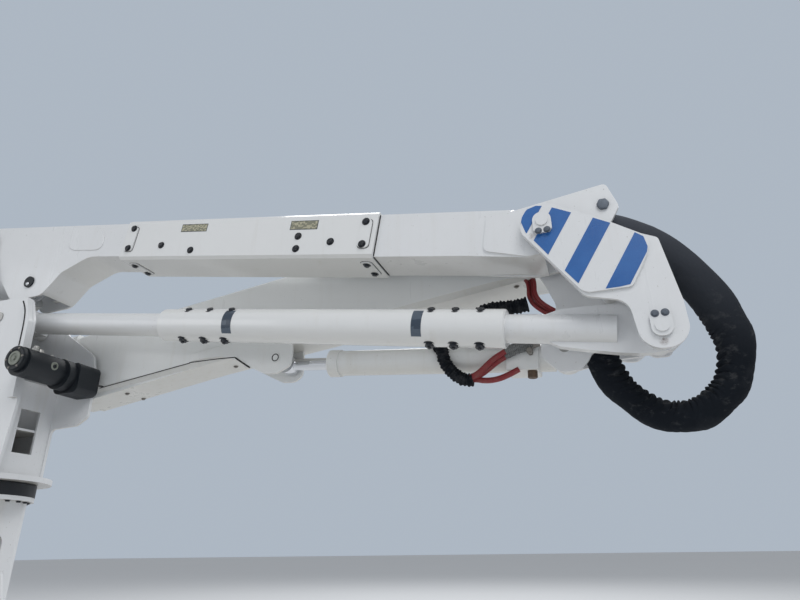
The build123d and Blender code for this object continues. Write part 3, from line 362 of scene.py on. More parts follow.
# Welded steel: plates, boxes and tubes sprayed with one coat of glossy white enamel.
# Orange peel in the gloss, faint waves in the plates, a warm beige tint on faces that look down, which is painted
# reflection of the ground with some road film, and a little run-off grime.
def enamel(name, colour=(0.80, 0.81, 0.82), film=0.55, rust=()):
    """White enamel: run-off streaks by a stretched noise, a beige tint on faces that look down that is painted
    ground reflection with some road film, rust round points.
    """
    paint = Finish(name, coat=0.35, coat_roughness=0.08)
    at = paint.place()
    runs = paint.noise(paint.place((14.0, 14.0, 1.1)), 1.0, 5.0, 0.62)
    cloud = paint.noise(at, 1.7, 4.0)
    speck = paint.noise(at, 95.0, 2.0)
    tone = paint.mix(cloud.within(0.3, 0.7), colour, tuple(c * 0.955 for c in colour))
    # Faces that look down turn beige: painted reflection of the ground, with some road film; the stretched runs
    # are real grime.
    dirt_and_ground_bounce = paint.looking_down() * (film * 0.4 + 0.22) + runs.within(0.55, 0.85) * film * 0.35
    dirt_and_bounce_tinted = paint.mix(dirt_and_ground_bounce, tone, (0.55, 0.51, 0.43))
    dotted = paint.mix(speck.within(0.70, 0.78) * 0.5, dirt_and_bounce_tinted, (0.30, 0.27, 0.23))
    for middle, reach in rust:
        away = paint.node("ShaderNodeVectorMath", {"operation": "DISTANCE"}, {0: at, 1: middle}, 1)
        bleed = away.within(reach, reach * 0.25) * paint.noise(at, 75.0, 5.0, 0.7).within(0.36, 0.60)
        dotted = paint.mix(bleed * 0.8, dotted, (0.115, 0.055, 0.028))
    paint.set("Base Color", dotted)
    paint.set("Roughness", runs * 0.16 + cloud * 0.12 + 0.16)
    paint.bump((paint.noise(at, 420.0, 1.0), ORANGE_PEEL), (paint.noise(at, 5.0, 1.0), PLATE_WAVES))
    return paint


def dress(finish, *nodes):
    """These CAD parts take that finish."""
    for node in nodes:
        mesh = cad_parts[node].data
        mesh.materials.clear()
        mesh.materials.append(finish.material)


ORANGE_PEEL = 0.00005
PLATE_WAVES = 0.0011
RUST_MARKS = (((3.548, -0.158, 1.184), 0.020), ((3.130, -0.176, 1.690), 0.024),
              ((3.413, -0.050, 1.291), 0.016))
boom_paint = enamel("boom_enamel", rust=RUST_MARKS)
dress(boom_paint, "lower_boom_rear", "lower_boom_head", "link_rear", "link_front", "elbow_plate_right",
      "elbow_plate_inner", "elbow_plate_middle", "elbow_plate_left", "elbow_plate_base", "elbow_cross_tubes",
      "pin_keepers")
upper_paint = enamel("upper_boom_enamel", (0.79, 0.80, 0.79), 0.8)
dress(upper_paint, "upper_boom_outer", "upper_boom_collar", "upper_cylinder_lug", "boom_tip",
      "upper_cylinder_barrel", "lift_cylinder_barrel", "platform_bracket")
base_paint = enamel("base_enamel", (0.77, 0.78, 0.79), 1.0)
dress(base_paint, "pedestal", "turntable_deck", "turntable_side_right", "turntable_side_left", "turntable_webs")


# Gooseneck cover: a long round-ended plate of thin steel on the lower boom's right cheek, above the lift
# cylinder. It is cut from sheet, tacked on and painted with the boom.
def rounded(corners, radius, steps=5):
    """Closed outline: each corner becomes the quadratic curve between points a radius before and after it."""
    c = np.asarray(corners, float)
    before = c + radius * unit(np.roll(c, 1, axis=0) - c)
    after = c + radius * unit(np.roll(c, -1, axis=0) - c)
    t = np.linspace(0.0, 1.0, steps)[:, None]
    arcs = before[:, None] * (1 - t) ** 2 + c[:, None] * 2 * t * (1 - t) + after[:, None] * t ** 2
    return arcs.reshape(-1, c.shape[1])


def block(outline, start, end, bevel):
    """Solid between two shifts of one outline, its end faces bevelled; the rings shrink towards the middle."""
    o = np.asarray(outline, float)
    start, end = np.asarray(start, float), np.asarray(end, float)
    way = (end - start) / np.linalg.norm(end - start)
    middle = o.mean(axis=0)
    inset = o - unit(o - middle) * bevel
    return closed_ends(np.stack([inset + start, o + start + bevel * way, o + end - bevel * way, inset + end]))


def side_outline(rows, y=0.0):
    """Outline in the XZ plane."""
    rows = np.asarray(rows, float)
    return np.stack([rows[:, 0], np.full(len(rows), y), rows[:, 1]], -1)


CHEEK = -0.110
COVER_CORNERS = ((0.452, 2.290), (0.728, 2.243), (0.748, 2.093), (0.472, 2.140))
cover_outline = rounded(side_outline(COVER_CORNERS, CHEEK), 0.074, 9)
cover = block(cover_outline, (0, 0.001, 0), (0, -0.004, 0), 0.002)
add_piece("gooseneck_cover", "lower_boom", [cover], boom_paint, crease=30.0)


# Insulating sections: filament-wound fibreglass with a white gel coat, smoother and a little warmer than
# the steel, sleeved over the steel ends and held by bolted pads and through bolts.
gel = Finish("gel_coat", coat=0.5, coat_roughness=0.05)
gel_at = gel.place()
gel_cloud = gel.noise(gel_at, 2.3, 4.0)
gel_runs = gel.noise(gel.place((16.0, 16.0, 1.3)), 1.0, 5.0, 0.6)
gel_thread = gel.noise(gel.place((26.0, 320.0, 320.0)), 1.0, 2.0)
gel_tone = gel.mix(gel_cloud, (0.83, 0.835, 0.83), (0.79, 0.795, 0.79))
# Faces that look down turn beige: painted reflection of the ground, with some road film; the stretched runs are
# real grime.
gel_dirt_and_ground_bounce = gel.looking_down() * 0.42 + gel_runs.within(0.58, 0.85) * 0.22
gel.set("Base Color", gel.mix(gel_dirt_and_ground_bounce, gel_tone, (0.58, 0.54, 0.46)))
gel.set("Roughness", gel_runs * 0.14 + 0.12)
gel.bump((gel_thread, 0.00012), (gel.noise(gel_at, 7.0, 1.0), 0.0007))
dress(gel, "lower_boom_insert", "lower_boom_pads", "link_insert", "extension_tube")

PIN_A = np.array([3.174, 0.0, 1.750])
BOOM_TILT = radians(9.7)


def boom_frame(pin, tilt):
    """Gives a function for places on a boom: along its axis from the pin, above it, and across."""
    ahead = np.array([cos(tilt), 0.0, -sin(tilt)])
    up = np.array([sin(tilt), 0.0, cos(tilt)])
    left = np.array([0.0, 1.0, 0.0])

    def place(station, above, y):
        station, above, y = (np.asarray(value, float)[..., None] for value in (station, above, y))
        return pin + station * ahead + above * up + y * left
    return place


boom_place = boom_frame(PIN_A, BOOM_TILT)


def turned_profile(profile, middle, axis, columns, sides):
    """Profile rows (out, up) carried round an axis; a row's third number draws it to a polygon of sides."""
    axis = unit(np.asarray(axis, float))
    start = np.array([1.0, 0.0, 0.0]) if abs(axis[0]) < 0.8 else np.array([0.0, 0.0, 1.0])
    aside = unit(np.cross(axis, start))
    over = np.cross(axis, aside)
    turn = np.linspace(0.0, 2 * pi, columns, endpoint=False)
    rows = np.asarray(profile, float)
    out = np.broadcast_to(rows[:, :1], (len(rows), columns))
    if sides:
        wedge = pi / sides
        edge = 1.0 / np.cos((turn + wedge) % (2 * wedge) - wedge)
        out = out * (1.0 + rows[:, 2:3] * (edge[None] - 1.0))
    spread = np.cos(turn)[None, :, None] * aside + np.sin(turn)[None, :, None] * over
    return np.asarray(middle, float) + out[..., None] * spread + rows[:, 1][:, None, None] * axis


def turned_piece(name, body, rows, seats, finish, columns=32, sides=0, crease=30.0):
    """One object of a profile turned at each seat, a (place, axis) pair."""
    sheets = [turned_profile(rows, place, axis, columns, sides) for place, axis in seats]
    return add_piece(name, body, sheets, finish, crease=crease)


# Washer and hexagon head: (out, up, how far drawn to the hexagon), in halves of the width over the flats.
BOLT_HEAD = [(0.0, -0.002, 0), (1.55, -0.002, 0), (1.62, 0.06, 0), (1.55, 0.17, 0), (1.02, 0.18, 0), (1.0, 0.2, 1),
             (1.0, 0.72, 1), (0.93, 0.82, 0.4), (0.55, 0.86, 0), (0.50, 0.80, 0), (0.0, 0.80, 0)]


def bolts(name, body, places, axis, across, finish):
    """Hexagon bolt heads on their washers, facing along the axis; across is half the width over the flats."""
    rows = [(out * across, up * across, hexed) for out, up, hexed in BOLT_HEAD]
    return turned_piece(name, body, rows, [(place, axis) for place in places], finish, 30, 6, 28.0)


def mottled(name, grain, one, other, rough, height, metallic=0.0, stretch=(1.0, 1.0, 1.0), span=None):
    """Finish that follows one noise: from one colour to the other, its roughness from rough[0] up by rough[1].

    grain holds the noise's scale, detail and own roughness, height its bump, span the stretch of it that shows.
    """
    finish = Finish(name, metallic=metallic)
    spots = finish.noise(finish.place(stretch), *grain)
    finish.set("Base Color", finish.mix(spots.within(*span) if span else spots, one, other))
    finish.set("Roughness", spots * rough[1] + rough[0])
    finish.bump((spots, height))
    return finish


black_zinc = mottled("black_bolts", (130.0, 4.0), (0.022, 0.026, 0.034), (0.15, 0.14, 0.13), (0.28, 0.3), 0.0002,
                     metallic=0.35, span=(0.5, 0.75))

INSERT_SIDE = 0.130
PAD_FACE = 0.137
INSERT_LOW = -0.143
INSERT_HIGH = 0.109
BOLT_HALF = 0.0122
PAD_BOLTS = ((-2.240, 0.046), (-2.240, -0.075), (-0.822, 0.044), (-0.822, -0.074))
END_BOLT_STATIONS = (-2.242, -0.818)
END_BOLT_Y = 0.052
SIDE_BOLTS = ((-2.019, -0.057), (-1.814, -0.089), (-1.178, -0.022), (-1.176, -0.090), (-0.994, -0.055))
for name, side in (("insert_bolts_right", -1.0), ("insert_bolts_left", 1.0)):
    heads = [boom_place(s, a, side * PAD_FACE) for s, a in PAD_BOLTS]
    heads += [boom_place(s, a, side * INSERT_SIDE) for s, a in SIDE_BOLTS]
    bolts(name, "lower_boom", heads, (0, side, 0), BOLT_HALF, black_zinc)
boom_up = boom_place(0.0, 1.0, 0.0) - PIN_A
for name, above, way in (("insert_bolts_below", INSERT_LOW, -1.0), ("insert_bolts_above", INSERT_HIGH, 1.0)):
    heads = [boom_place(s, above, y) for s in END_BOLT_STATIONS for y in (-END_BOLT_Y, END_BOLT_Y)]
    bolts(name, "lower_boom", heads, way * boom_up, BOLT_HALF, black_zinc)

LINK_START = np.array([0.123071, 0.0, 1.770307])
LINK_END = np.array([3.551, 0.0, 1.276])
LINK_SLEEVE = 0.085
LINK_SEAT = LINK_SLEEVE - 0.0045
link_ahead = (LINK_END - LINK_START) / np.linalg.norm(LINK_END - LINK_START)
link_up = np.array([-link_ahead[2], 0.0, link_ahead[0]])


def link_place(x, turn, radius):
    """Place on the link's sleeve: x, then the turn from the right side upwards, and the way out there."""
    out = -cos(turn) * np.array([0.0, 1.0, 0.0]) + sin(turn) * link_up
    return LINK_START + link_ahead * ((x - LINK_START[0]) / link_ahead[0]) + radius * out, out


LINK_BOLT_HALF = 0.0155
LINK_NUT_HALF = 0.0185
NUT_TURN = radians(-80)
LINK_ABOVE = (1.342, 1.473, 1.604, 2.643, 2.752, 2.862)
LINK_BELOW = (1.320, 1.450, 1.575, 2.640, 2.748, 2.862)
LINK_ROWS = (("link_bolts_above", radians(52), LINK_ABOVE, LINK_BOLT_HALF),
             ("link_bolts_far", radians(128), LINK_ABOVE, LINK_BOLT_HALF),
             ("link_nuts_below", NUT_TURN, LINK_BELOW, LINK_NUT_HALF))
for name, turn, row, half in LINK_ROWS:
    seats = [link_place(x, turn, LINK_SEAT) for x in row]
    bolts(name, "link", [place for place, out in seats], seats[0][1], half, black_zinc)
STUD_ROWS = [(0.0, 0.0), (0.0080, 0.0), (0.0080, 0.0170), (0.0066, 0.0185), (0.0, 0.0185)]
seats = [link_place(x, NUT_TURN, LINK_SLEEVE) for x in LINK_BELOW]
turned_piece("link_studs_below", "link", STUD_ROWS, seats, black_zinc, 20)


# Labels: blank pieces of printed plastic film, pale in a dark frame on the boom and dark on the link.
# Each is stuck down flat and follows the face below it.
def closed_sheet(outer, inner):
    """Two grids of one patch, face and back, joined round the rim."""
    ring = np.concatenate([outer, inner[:, ::-1]], axis=1)
    head = np.concatenate([outer[:1], outer[:1, ::-1]], axis=1)
    tail = np.concatenate([outer[-1:], outer[-1:, ::-1]], axis=1)
    return np.concatenate([head, ring, tail])


FILM = 0.0006


def boom_label(start, end, low, high, proud=FILM):
    """Flat label on the insert's right side, between two stations and two heights."""
    s, a = np.meshgrid(np.linspace(start, end, 6), np.linspace(low, high, 4), indexing="ij")
    return closed_sheet(boom_place(s, a, -INSERT_SIDE - proud), boom_place(s, a, -INSERT_SIDE + FILM))


def link_label(start, end, low, high):
    """Label bent round the link's sleeve, between two x and two turns."""
    x, t = np.meshgrid(np.linspace(start, end, 8), np.linspace(low, high, 16), indexing="ij")
    sheets = []
    for radius in (LINK_SLEEVE + FILM, LINK_SLEEVE - FILM):
        out = np.stack([np.sin(t) * link_up[0], -np.cos(t), np.sin(t) * link_up[2]], -1)
        middle = LINK_START + link_ahead * ((x - LINK_START[0]) / link_ahead[0])[..., None]
        sheets.append(middle + radius * out)
    return closed_sheet(*sheets)


def printed_film(name, ground, ink, scale):
    """Label film: ground colour with faint worn blocks of ink and no writing."""
    film = Finish(name, roughness=0.35, coat=0.25)
    at = film.place(scale)
    patch = film.node("ShaderNodeTexVoronoi", {"feature": "F1", "distance": "CHEBYCHEV"},
                      {"Vector": at, "Scale": 1.0, "Randomness": 0.4}, 1)
    wear = film.noise(film.place(), 160.0, 4.0)
    inked = film.node("ShaderNodeSeparateColor", {}, {0: patch}, 0).within(0.45, 0.5) * 0.75
    printed = film.mix(inked, ground, ink)
    film.set("Base Color", film.mix(wear.within(0.35, 0.75) * 0.3, printed, tuple(c * 0.6 for c in ground)))
    film.set("Roughness", wear * 0.25 + 0.22)
    film.bump((wear, 0.00015))
    return film


pale_film = printed_film("pale_label", (0.50, 0.47, 0.33), (0.13, 0.14, 0.11), (105.0, 1.0, 150.0))
frame_film = printed_film("label_frame", (0.07, 0.08, 0.08), (0.12, 0.13, 0.12), (90.0, 1.0, 90.0))
dark_film = printed_film("dark_label", (0.035, 0.055, 0.085), (0.10, 0.13, 0.17), (24.0, 30.0, 30.0))
BOOM_FIELDS = ((-1.913, -1.744, 0.020, 0.066), (-1.235, -1.080, 0.014, 0.064))
FRAME = 0.004
FRAMED_PROUD = 0.0009
LINK_FIELDS = ((1.583, 1.638), (2.567, 2.613))
LINK_FIELD_TURNS = (radians(-45), radians(44))
add_piece("boom_label_frames", "lower_boom", [boom_label(*field) for field in BOOM_FIELDS], frame_film,
          crease=40.0)
add_piece("boom_labels", "lower_boom",
          [boom_label(start + FRAME, end - FRAME, low + FRAME, high - FRAME, FRAMED_PROUD)
           for start, end, low, high in BOOM_FIELDS], pale_film, crease=40.0)
add_piece("link_labels", "link", [link_label(*field, *LINK_FIELD_TURNS) for field in LINK_FIELDS],
          dark_film, crease=40.0)


# Stripes: strips of blue reflective tape stuck on the elbow's right plate and cut flush with its doubler.
# Each strip runs from the doubler's lower edge to its upper one, with a white gap before the next.
TAPE_TURN = radians(57.5)
TAPE_BANDS = ((1.640, 1.703), (1.745, 1.828), (1.918, 1.990), (2.091, 2.165))
TAPE_FACE = -0.1665
TAPE_END_GAP = 0.003
TAPE_EDGE_GAP = 0.002
DOUBLER_EDGE = np.array([
    (3.088, 1.762), (3.096, 1.794), (3.120, 1.822), (3.158, 1.832), (3.198, 1.823), (3.238, 1.802), (3.302, 1.767),
    (3.376, 1.729), (3.440, 1.691), (3.504, 1.647), (3.548, 1.610), (3.556, 1.564), (3.548, 1.536), (3.518, 1.476),
    (3.476, 1.416), (3.431, 1.411), (3.380, 1.411), (3.306, 1.414), (3.242, 1.506), (3.182, 1.592), (3.134, 1.664),
    (3.102, 1.712)])
tape_across = np.array([sin(TAPE_TURN), -cos(TAPE_TURN)])
tape_along = np.array([cos(TAPE_TURN), sin(TAPE_TURN)])


def edge_reach(offset):
    """Lowest and highest place along the tape where the line at that offset crosses the doubler's edge."""
    a = DOUBLER_EDGE
    b = np.roll(DOUBLER_EDGE, -1, axis=0)
    pa, pb = a @ tape_across, b @ tape_across
    hit = (pa[None] - offset[:, None]) * (pb[None] - offset[:, None]) <= 0
    share = np.clip((offset[:, None] - pa[None]) / np.where(np.abs(pb - pa) < 1e-9, 1e-9, pb - pa)[None], 0, 1)
    at = (a @ tape_along)[None] + share * ((b - a) @ tape_along)[None]
    return np.where(hit, at, np.inf).min(axis=1), np.where(hit, at, -np.inf).max(axis=1)


def tape_sheet(start, end, y_back, y_front, rows=28, columns=10):
    """Thin closed strip: a grid between the edge's lower and upper crossings, at two depths, joined round."""
    reach = DOUBLER_EDGE @ tape_across
    offset = np.linspace(max(start, reach.min() + TAPE_END_GAP), min(end, reach.max() - TAPE_END_GAP), rows)
    low, high = edge_reach(offset)
    up = np.linspace(0.0, 1.0, columns)
    t = (low + TAPE_EDGE_GAP)[:, None] * (1 - up) + (high - TAPE_EDGE_GAP)[:, None] * up
    flat = offset[:, None, None] * tape_across + t[..., None] * tape_along
    front = np.stack([flat[..., 0], np.full(t.shape, y_front), flat[..., 1]], -1)
    back = front.copy()
    back[..., 1] = y_back
    return closed_sheet(front, back)


blue_tape = Finish("blue_tape", coat=0.4, coat_roughness=0.12)
cell = blue_tape.node("ShaderNodeTexVoronoi", {"feature": "DISTANCE_TO_EDGE"},
                      {"Vector": blue_tape.place((1.0, 0.0, 1.0)), "Scale": 260.0})
tape_fade = blue_tape.noise(blue_tape.place(), 9.0, 4.0)
tape_tone = blue_tape.mix(tape_fade.within(0.3, 0.7), (0.012, 0.105, 0.36), (0.02, 0.135, 0.42))
blue_tape.set("Base Color", blue_tape.mix(cell.within(0.0, 0.05), (0.03, 0.16, 0.45), tape_tone))
blue_tape.set("Roughness", tape_fade * 0.2 + 0.22)
blue_tape.bump((cell, 0.0004))
add_piece("elbow_stripes", "elbow",
          [tape_sheet(start, end, TAPE_FACE + FILM, TAPE_FACE - FILM) for start, end in TAPE_BANDS],
          blue_tape, crease=40.0)


# Hinge pins: turned steel, zinc plated, two of them held by a shield-shaped keeper with two dull bolts.
# One bare bolt a side stands on the nose of the lower boom.
pin_steel = mottled("pin_steel", (30.0, 3.0), (0.50, 0.50, 0.48), (0.38, 0.37, 0.35), (0.3, 0.25), 0.0002,
                    metallic=0.9, stretch=(1.0, 40.0, 1.0))
grey_zinc = mottled("grey_bolts", (150.0, 4.0), (0.30, 0.29, 0.27), (0.16, 0.14, 0.12), (0.35, 0.3), 0.0003,
                    metallic=0.6)
dull_zinc = mottled("dull_bolts", (120.0, 4.0), (0.15, 0.18, 0.22), (0.10, 0.11, 0.13), (0.35, 0.3), 0.0003,
                    metallic=0.4)
dress(pin_steel, "turntable_pins", "elbow_pins", "levelling_pin")
dress(upper_paint, "lug_pin_ends")

TO_RIGHT = (0, -1, 0)
KEEPER_A = -0.180
KEEPER_B = -0.170
KEEPER_BOLT_HALF = 0.0092
KEEPER_BOLTS = ((3.1565, KEEPER_A, 1.703), (3.1915, KEEPER_A, 1.703),
                (3.5335, KEEPER_B, 1.287), (3.5685, KEEPER_B, 1.287))
bolts("keeper_bolts", "elbow", KEEPER_BOLTS, TO_RIGHT, KEEPER_BOLT_HALF, dull_zinc)

BARE_HEAD = [(0.0, -0.12, 0), (1.0, -0.12, 1), (1.0, 0.52, 1), (0.94, 0.62, 0.4), (0.62, 0.66, 0), (0.0, 0.66, 0)]
NOSE_HALF = 0.0225
NOSE_X, NOSE_FACE, NOSE_Z = 3.423, 0.118, 1.806
nose_rows = [(out * NOSE_HALF, up * NOSE_HALF, hexed) for out, up, hexed in BARE_HEAD]
nose_seats = [((NOSE_X, side * NOSE_FACE, NOSE_Z), (0, side, 0)) for side in (-1, 1)]
turned_piece("nose_bolts", "lower_boom", nose_rows, nose_seats, dull_zinc, 30, 6, 28.0)


# Rods: ground steel bars under hard chrome, which slide out of the two cylinders' glands.
# Their long fine marks are left by the grinding.
chrome = mottled("hard_chrome", (3.0, 3.0), (0.78, 0.79, 0.81), (0.70, 0.71, 0.73), (0.07, 0.08), 0.00003,
                 metallic=1.0, stretch=(2.0, 60.0, 60.0))
dress(chrome, "upper_cylinder_rod", "lift_cylinder_rod")


# Cast and machined units: the slewing ring, its worm gear and motor, the auxiliary pump, the control box and
# the lift pin's ends, all sprayed satin black. A bare grease nipple is screwed into each end of the pin.
satin_black = Finish("satin_black")
cast_grain = satin_black.noise(satin_black.place(), 240.0, 3.0)
cast_dust = satin_black.noise(satin_black.place(), 9.0, 5.0)
satin_black.set("Base Color", satin_black.mix(cast_dust.within(0.5, 0.8) * 0.35, (0.004, 0.007, 0.011),
                                              (0.026, 0.029, 0.032)))
satin_black.set("Roughness", cast_dust * 0.3 + 0.34)
satin_black.bump((cast_grain, 0.0004))
dress(satin_black, "auxiliary_pump", "rotation_drive", "slewing_ring", "platform_controls", "lift_pin_ends")

NIPPLE_ROWS = [(0.0, -0.001), (0.0095, -0.001), (0.0105, 0.002), (0.0075, 0.006), (0.0045, 0.008), (0.0, 0.009)]
LIFT_PIN_X, LIFT_PIN_FACE, LIFT_PIN_Z = 0.2290, 0.120, 1.9620
nipple_seats = [((LIFT_PIN_X, side * LIFT_PIN_FACE, LIFT_PIN_Z), (0, side, 0)) for side in (-1, 1)]
turned_piece("lift_pin_nipples", "lower_boom", NIPPLE_ROWS, nipple_seats, chrome, 24)


# Pump: the fittings of the unit that hangs across the turntable's front. A grey hub stands in a black rim
# with six small bolts on its right end, turned steel plugs and fittings are screwed in on top, and a round
# cable socket is screwed in at the front.
def ring_of(middle, axis, radius, count, start=0.0):
    """Places evenly round a circle square to an axis."""
    axis = unit(np.asarray(axis, float))
    aside = unit(np.cross(axis, (0.3, 0.2, 1.0)))
    over = np.cross(axis, aside)
    turn = start + np.arange(count) * 2 * pi / count
    return [np.asarray(middle) + radius * (cos(t) * aside + sin(t) * over) for t in turn]


PUMP_X, PUMP_Z = 0.520071, 1.423307
PUMP_END = (PUMP_X, -0.300, PUMP_Z)
PUMP_BOLT_SEAT = (PUMP_X, -0.304, PUMP_Z)
PUMP_BOLT_CIRCLE = 0.054
PUMP_BOLT_HALF = 0.0055
FITTING_HALF = 0.0090
hub_grey = mottled("hub_paint", (45.0, 4.0), (0.30, 0.32, 0.27), (0.13, 0.14, 0.12), (0.35, 0.3), 0.0006)
HUB_ROWS = [(0.0, -0.001), (0.037, -0.001), (0.038, 0.004), (0.036, 0.007), (0.024, 0.008), (0.022, 0.004),
            (0.012, 0.004), (0.011, 0.011), (0.0, 0.011)]
RIM_ROWS = [(0.044, -0.001), (0.064, -0.001), (0.064, 0.003), (0.060, 0.006), (0.048, 0.006), (0.044, 0.003),
            (0.044, -0.001)]
turned_piece("pump_hub", "turntable", HUB_ROWS, [(PUMP_END, TO_RIGHT)], hub_grey, 40)
turned_piece("pump_rim", "turntable", RIM_ROWS, [(PUMP_END, TO_RIGHT)], satin_black, 48)
bolts("pump_bolts", "turntable", ring_of(PUMP_BOLT_SEAT, TO_RIGHT, PUMP_BOLT_CIRCLE, 6, 0.4), TO_RIGHT,
      PUMP_BOLT_HALF, grey_zinc)

PLUG_ROWS = [(0.0, -0.02), (0.020, -0.02), (0.020, 0.010), (0.015, 0.014), (0.014, 0.024), (0.010, 0.027),
             (0.0, 0.027)]
PLUGS = (((PUMP_X - 0.02, -0.150, PUMP_Z + 0.066), (-0.2, 0, 1)),
         ((PUMP_X + 0.01, -0.205, PUMP_Z + 0.066), (0.1, 0, 1)))
FITTINGS = ((PUMP_X + 0.020, -0.020, PUMP_Z + 0.063), (PUMP_X + 0.010, -0.105, PUMP_Z + 0.064))
turned_piece("pump_plugs", "turntable", PLUG_ROWS, PLUGS, pin_steel, 28)
bolts("pump_fittings", "turntable", FITTINGS, (0.1, 0, 1), FITTING_HALF, pin_steel)

SOCKET_SEAT = [((PUMP_X + 0.077, -0.132, PUMP_Z - 0.005), (0.98, 0.0, -0.17))]
SOCKET_ROWS = [(0.0, -0.010), (0.021, -0.010), (0.021, 0.005), (0.018, 0.008), (0.013, 0.008), (0.012, 0.001),
               (0.0, 0.001)]
SOCKET_PIN_ROWS = [(0.0, -0.006), (0.0085, -0.006), (0.0085, 0.007), (0.007, 0.0085), (0.0, 0.0085)]
turned_piece("pump_socket", "turntable", SOCKET_ROWS, SOCKET_SEAT, hub_grey, 28)
turned_piece("pump_socket_pin", "turntable", SOCKET_PIN_ROWS, SOCKET_SEAT, satin_black, 24)


# Cables and cords: black rubber. They are the pump's cable, the bead laid on the turntable's front flange, thin
# cords round the locking pads' outlines and the cable along the upper boom's seam and lug. A cord where the insert
# enters the steel head, a thicker one along the lug's edge and a ring round the lug pin's end are painted shade:
# black cords for shaded gaps.
def tubes(name, body, routes, radius, finish, columns=20, ripple=0.0, pitch=0.01, rows=160):
    """Round cords along routes; a ripple adds its height times two sines of the run, of one and 2.3 pitches."""
    sheets = []
    for route in routes:
        line, far = smooth_line(route, rows)
        waves = np.sin(2 * pi * far / pitch) + 0.6 * np.sin(2 * pi * far / (2.3 * pitch) + 1.0)
        wide = radius + ripple * waves[:, None]
        sheets.append(closed_ends(round_the_line(line, ASKEW, wide, columns)))
    return add_piece(name, body, sheets, finish, crease=50.0)


ASKEW = (0.31, 0.85, 0.42)
rubber = Finish("black_rubber_and_gap_shade", roughness=0.6)
rubber_dust = rubber.noise(rubber.place(), 25.0, 5.0)
rubber.set("Base Color", rubber.mix(rubber_dust.within(0.5, 0.8) * 0.6, (0.012, 0.012, 0.014),
                                    (0.085, 0.08, 0.07)))
rubber.bump((rubber.noise(rubber.place(), 300.0, 2.0), 0.0002))

PUMP_CABLE = [(0.628, 0.120, 1.372), (0.650, 0.150, 1.374), (0.640, 0.170, 1.376)]
PUMP_CABLE_RADIUS = 0.0045
FLANGE_BEAD = 0.0040
FLANGE_OUT = -0.1863
FLANGE_EDGE = ((0.322, 1.812), (0.350, 1.770), (0.364, 1.710), (0.371, 1.640), (0.374, 1.545))
flange_route = [(x, FLANGE_OUT, z) for x, z in FLANGE_EDGE]
tubes("pump_cable", "turntable", [PUMP_CABLE], PUMP_CABLE_RADIUS, rubber, 12)
tubes("flange_seal", "turntable", [flange_route], FLANGE_BEAD, rubber, 12)

# Thin black cords trace each locking pad's rounded outline, darkening its edge.
PAD_CORD = 0.0016
PAD_STATIONS = (-2.240, -0.818)
PAD_EDGES = rounded([(-0.030, -0.076), (0.030, -0.076), (0.030, 0.076), (-0.030, 0.076)], 0.020)
SIDE_PAD_DOWN = 0.017
UNDER_PADS = -0.136
pad_routes = []
for station in PAD_STATIONS:
    for y in (-INSERT_SIDE, INSERT_SIDE):
        pad_routes.append([boom_place(station + a, b - SIDE_PAD_DOWN, y) for a, b in PAD_EDGES])
    pad_routes.append([boom_place(station + a, UNDER_PADS, b) for a, b in PAD_EDGES])
tubes("pad_seams", "lower_boom", [route + route[:1] for route in pad_routes], PAD_CORD, rubber, 8, rows=220)

# A black cord round the insert where it enters the steel head: painted shade of the gap there.
HEAD_GAP_SHADE = 0.0042
HEAD_START = -0.7650
HEAD_EDGES = rounded([(0.110, -0.127), (0.110, 0.093), (-0.110, 0.093), (-0.110, -0.127)], 0.012)
head_gap_route = [boom_place(HEAD_START, above, y) for y, above in HEAD_EDGES]
tubes("insert_gap_shade", "lower_boom", [head_gap_route + head_gap_route[:1]], HEAD_GAP_SHADE, rubber, 10, rows=240)

PIN_E = np.array([3.360, 0.0, 1.800])
UPPER_TILT = radians(-7.2)
upper_place = boom_frame(PIN_E, UPPER_TILT)
SEAM_FACE = 0.1765
LUG_FACE = 0.1695
SEAM_CABLE = ((-2.780, -0.080), (-2.500, -0.0775), (-2.240, -0.0740), (-2.175, -0.0745))
LUG_CABLE = ((-2.1700, -0.0745), (-2.0711, -0.0861), (-1.9779, -0.0979), (-1.8851, -0.1136))
# A thicker black cord along the lug plate's lower edge: painted shade of the gap there.
LUG_EDGE_SHADE = ((-1.8825, -0.1170), (-1.8610, -0.1378), (-1.7991, -0.1910))
SEAM_CORDS = (("seam_cable", 0.0024, SEAM_FACE, SEAM_CABLE), ("lug_cable", 0.0026, LUG_FACE, LUG_CABLE),
              ("lug_edge_shade", 0.0044, LUG_FACE, LUG_EDGE_SHADE))
for name, wide, face, run in SEAM_CORDS:
    tubes(name, "upper_boom", [[upper_place(s, a, face) for s, a in run]], wide, rubber, 12)
# A thin black ring round the painted lug pin's end: painted shade of the gap round it.
LUG_PIN_GAP_SHADE_ROWS = [(0.0155, -0.001), (0.0155, 0.0010), (0.0180, 0.0020), (0.0205, 0.0010), (0.0205, -0.001),
                 (0.0155, -0.001)]
LUG_PIN_STATION, LUG_PIN_ABOVE, LUG_PIN_FACE = -1.645, -0.174, 0.166
lug_pin_end = upper_place(LUG_PIN_STATION, LUG_PIN_ABOVE, LUG_PIN_FACE)
turned_piece("lug_pin_gap_shade", "upper_boom", LUG_PIN_GAP_SHADE_ROWS, [(lug_pin_end, TO_RIGHT)], rubber, 40)


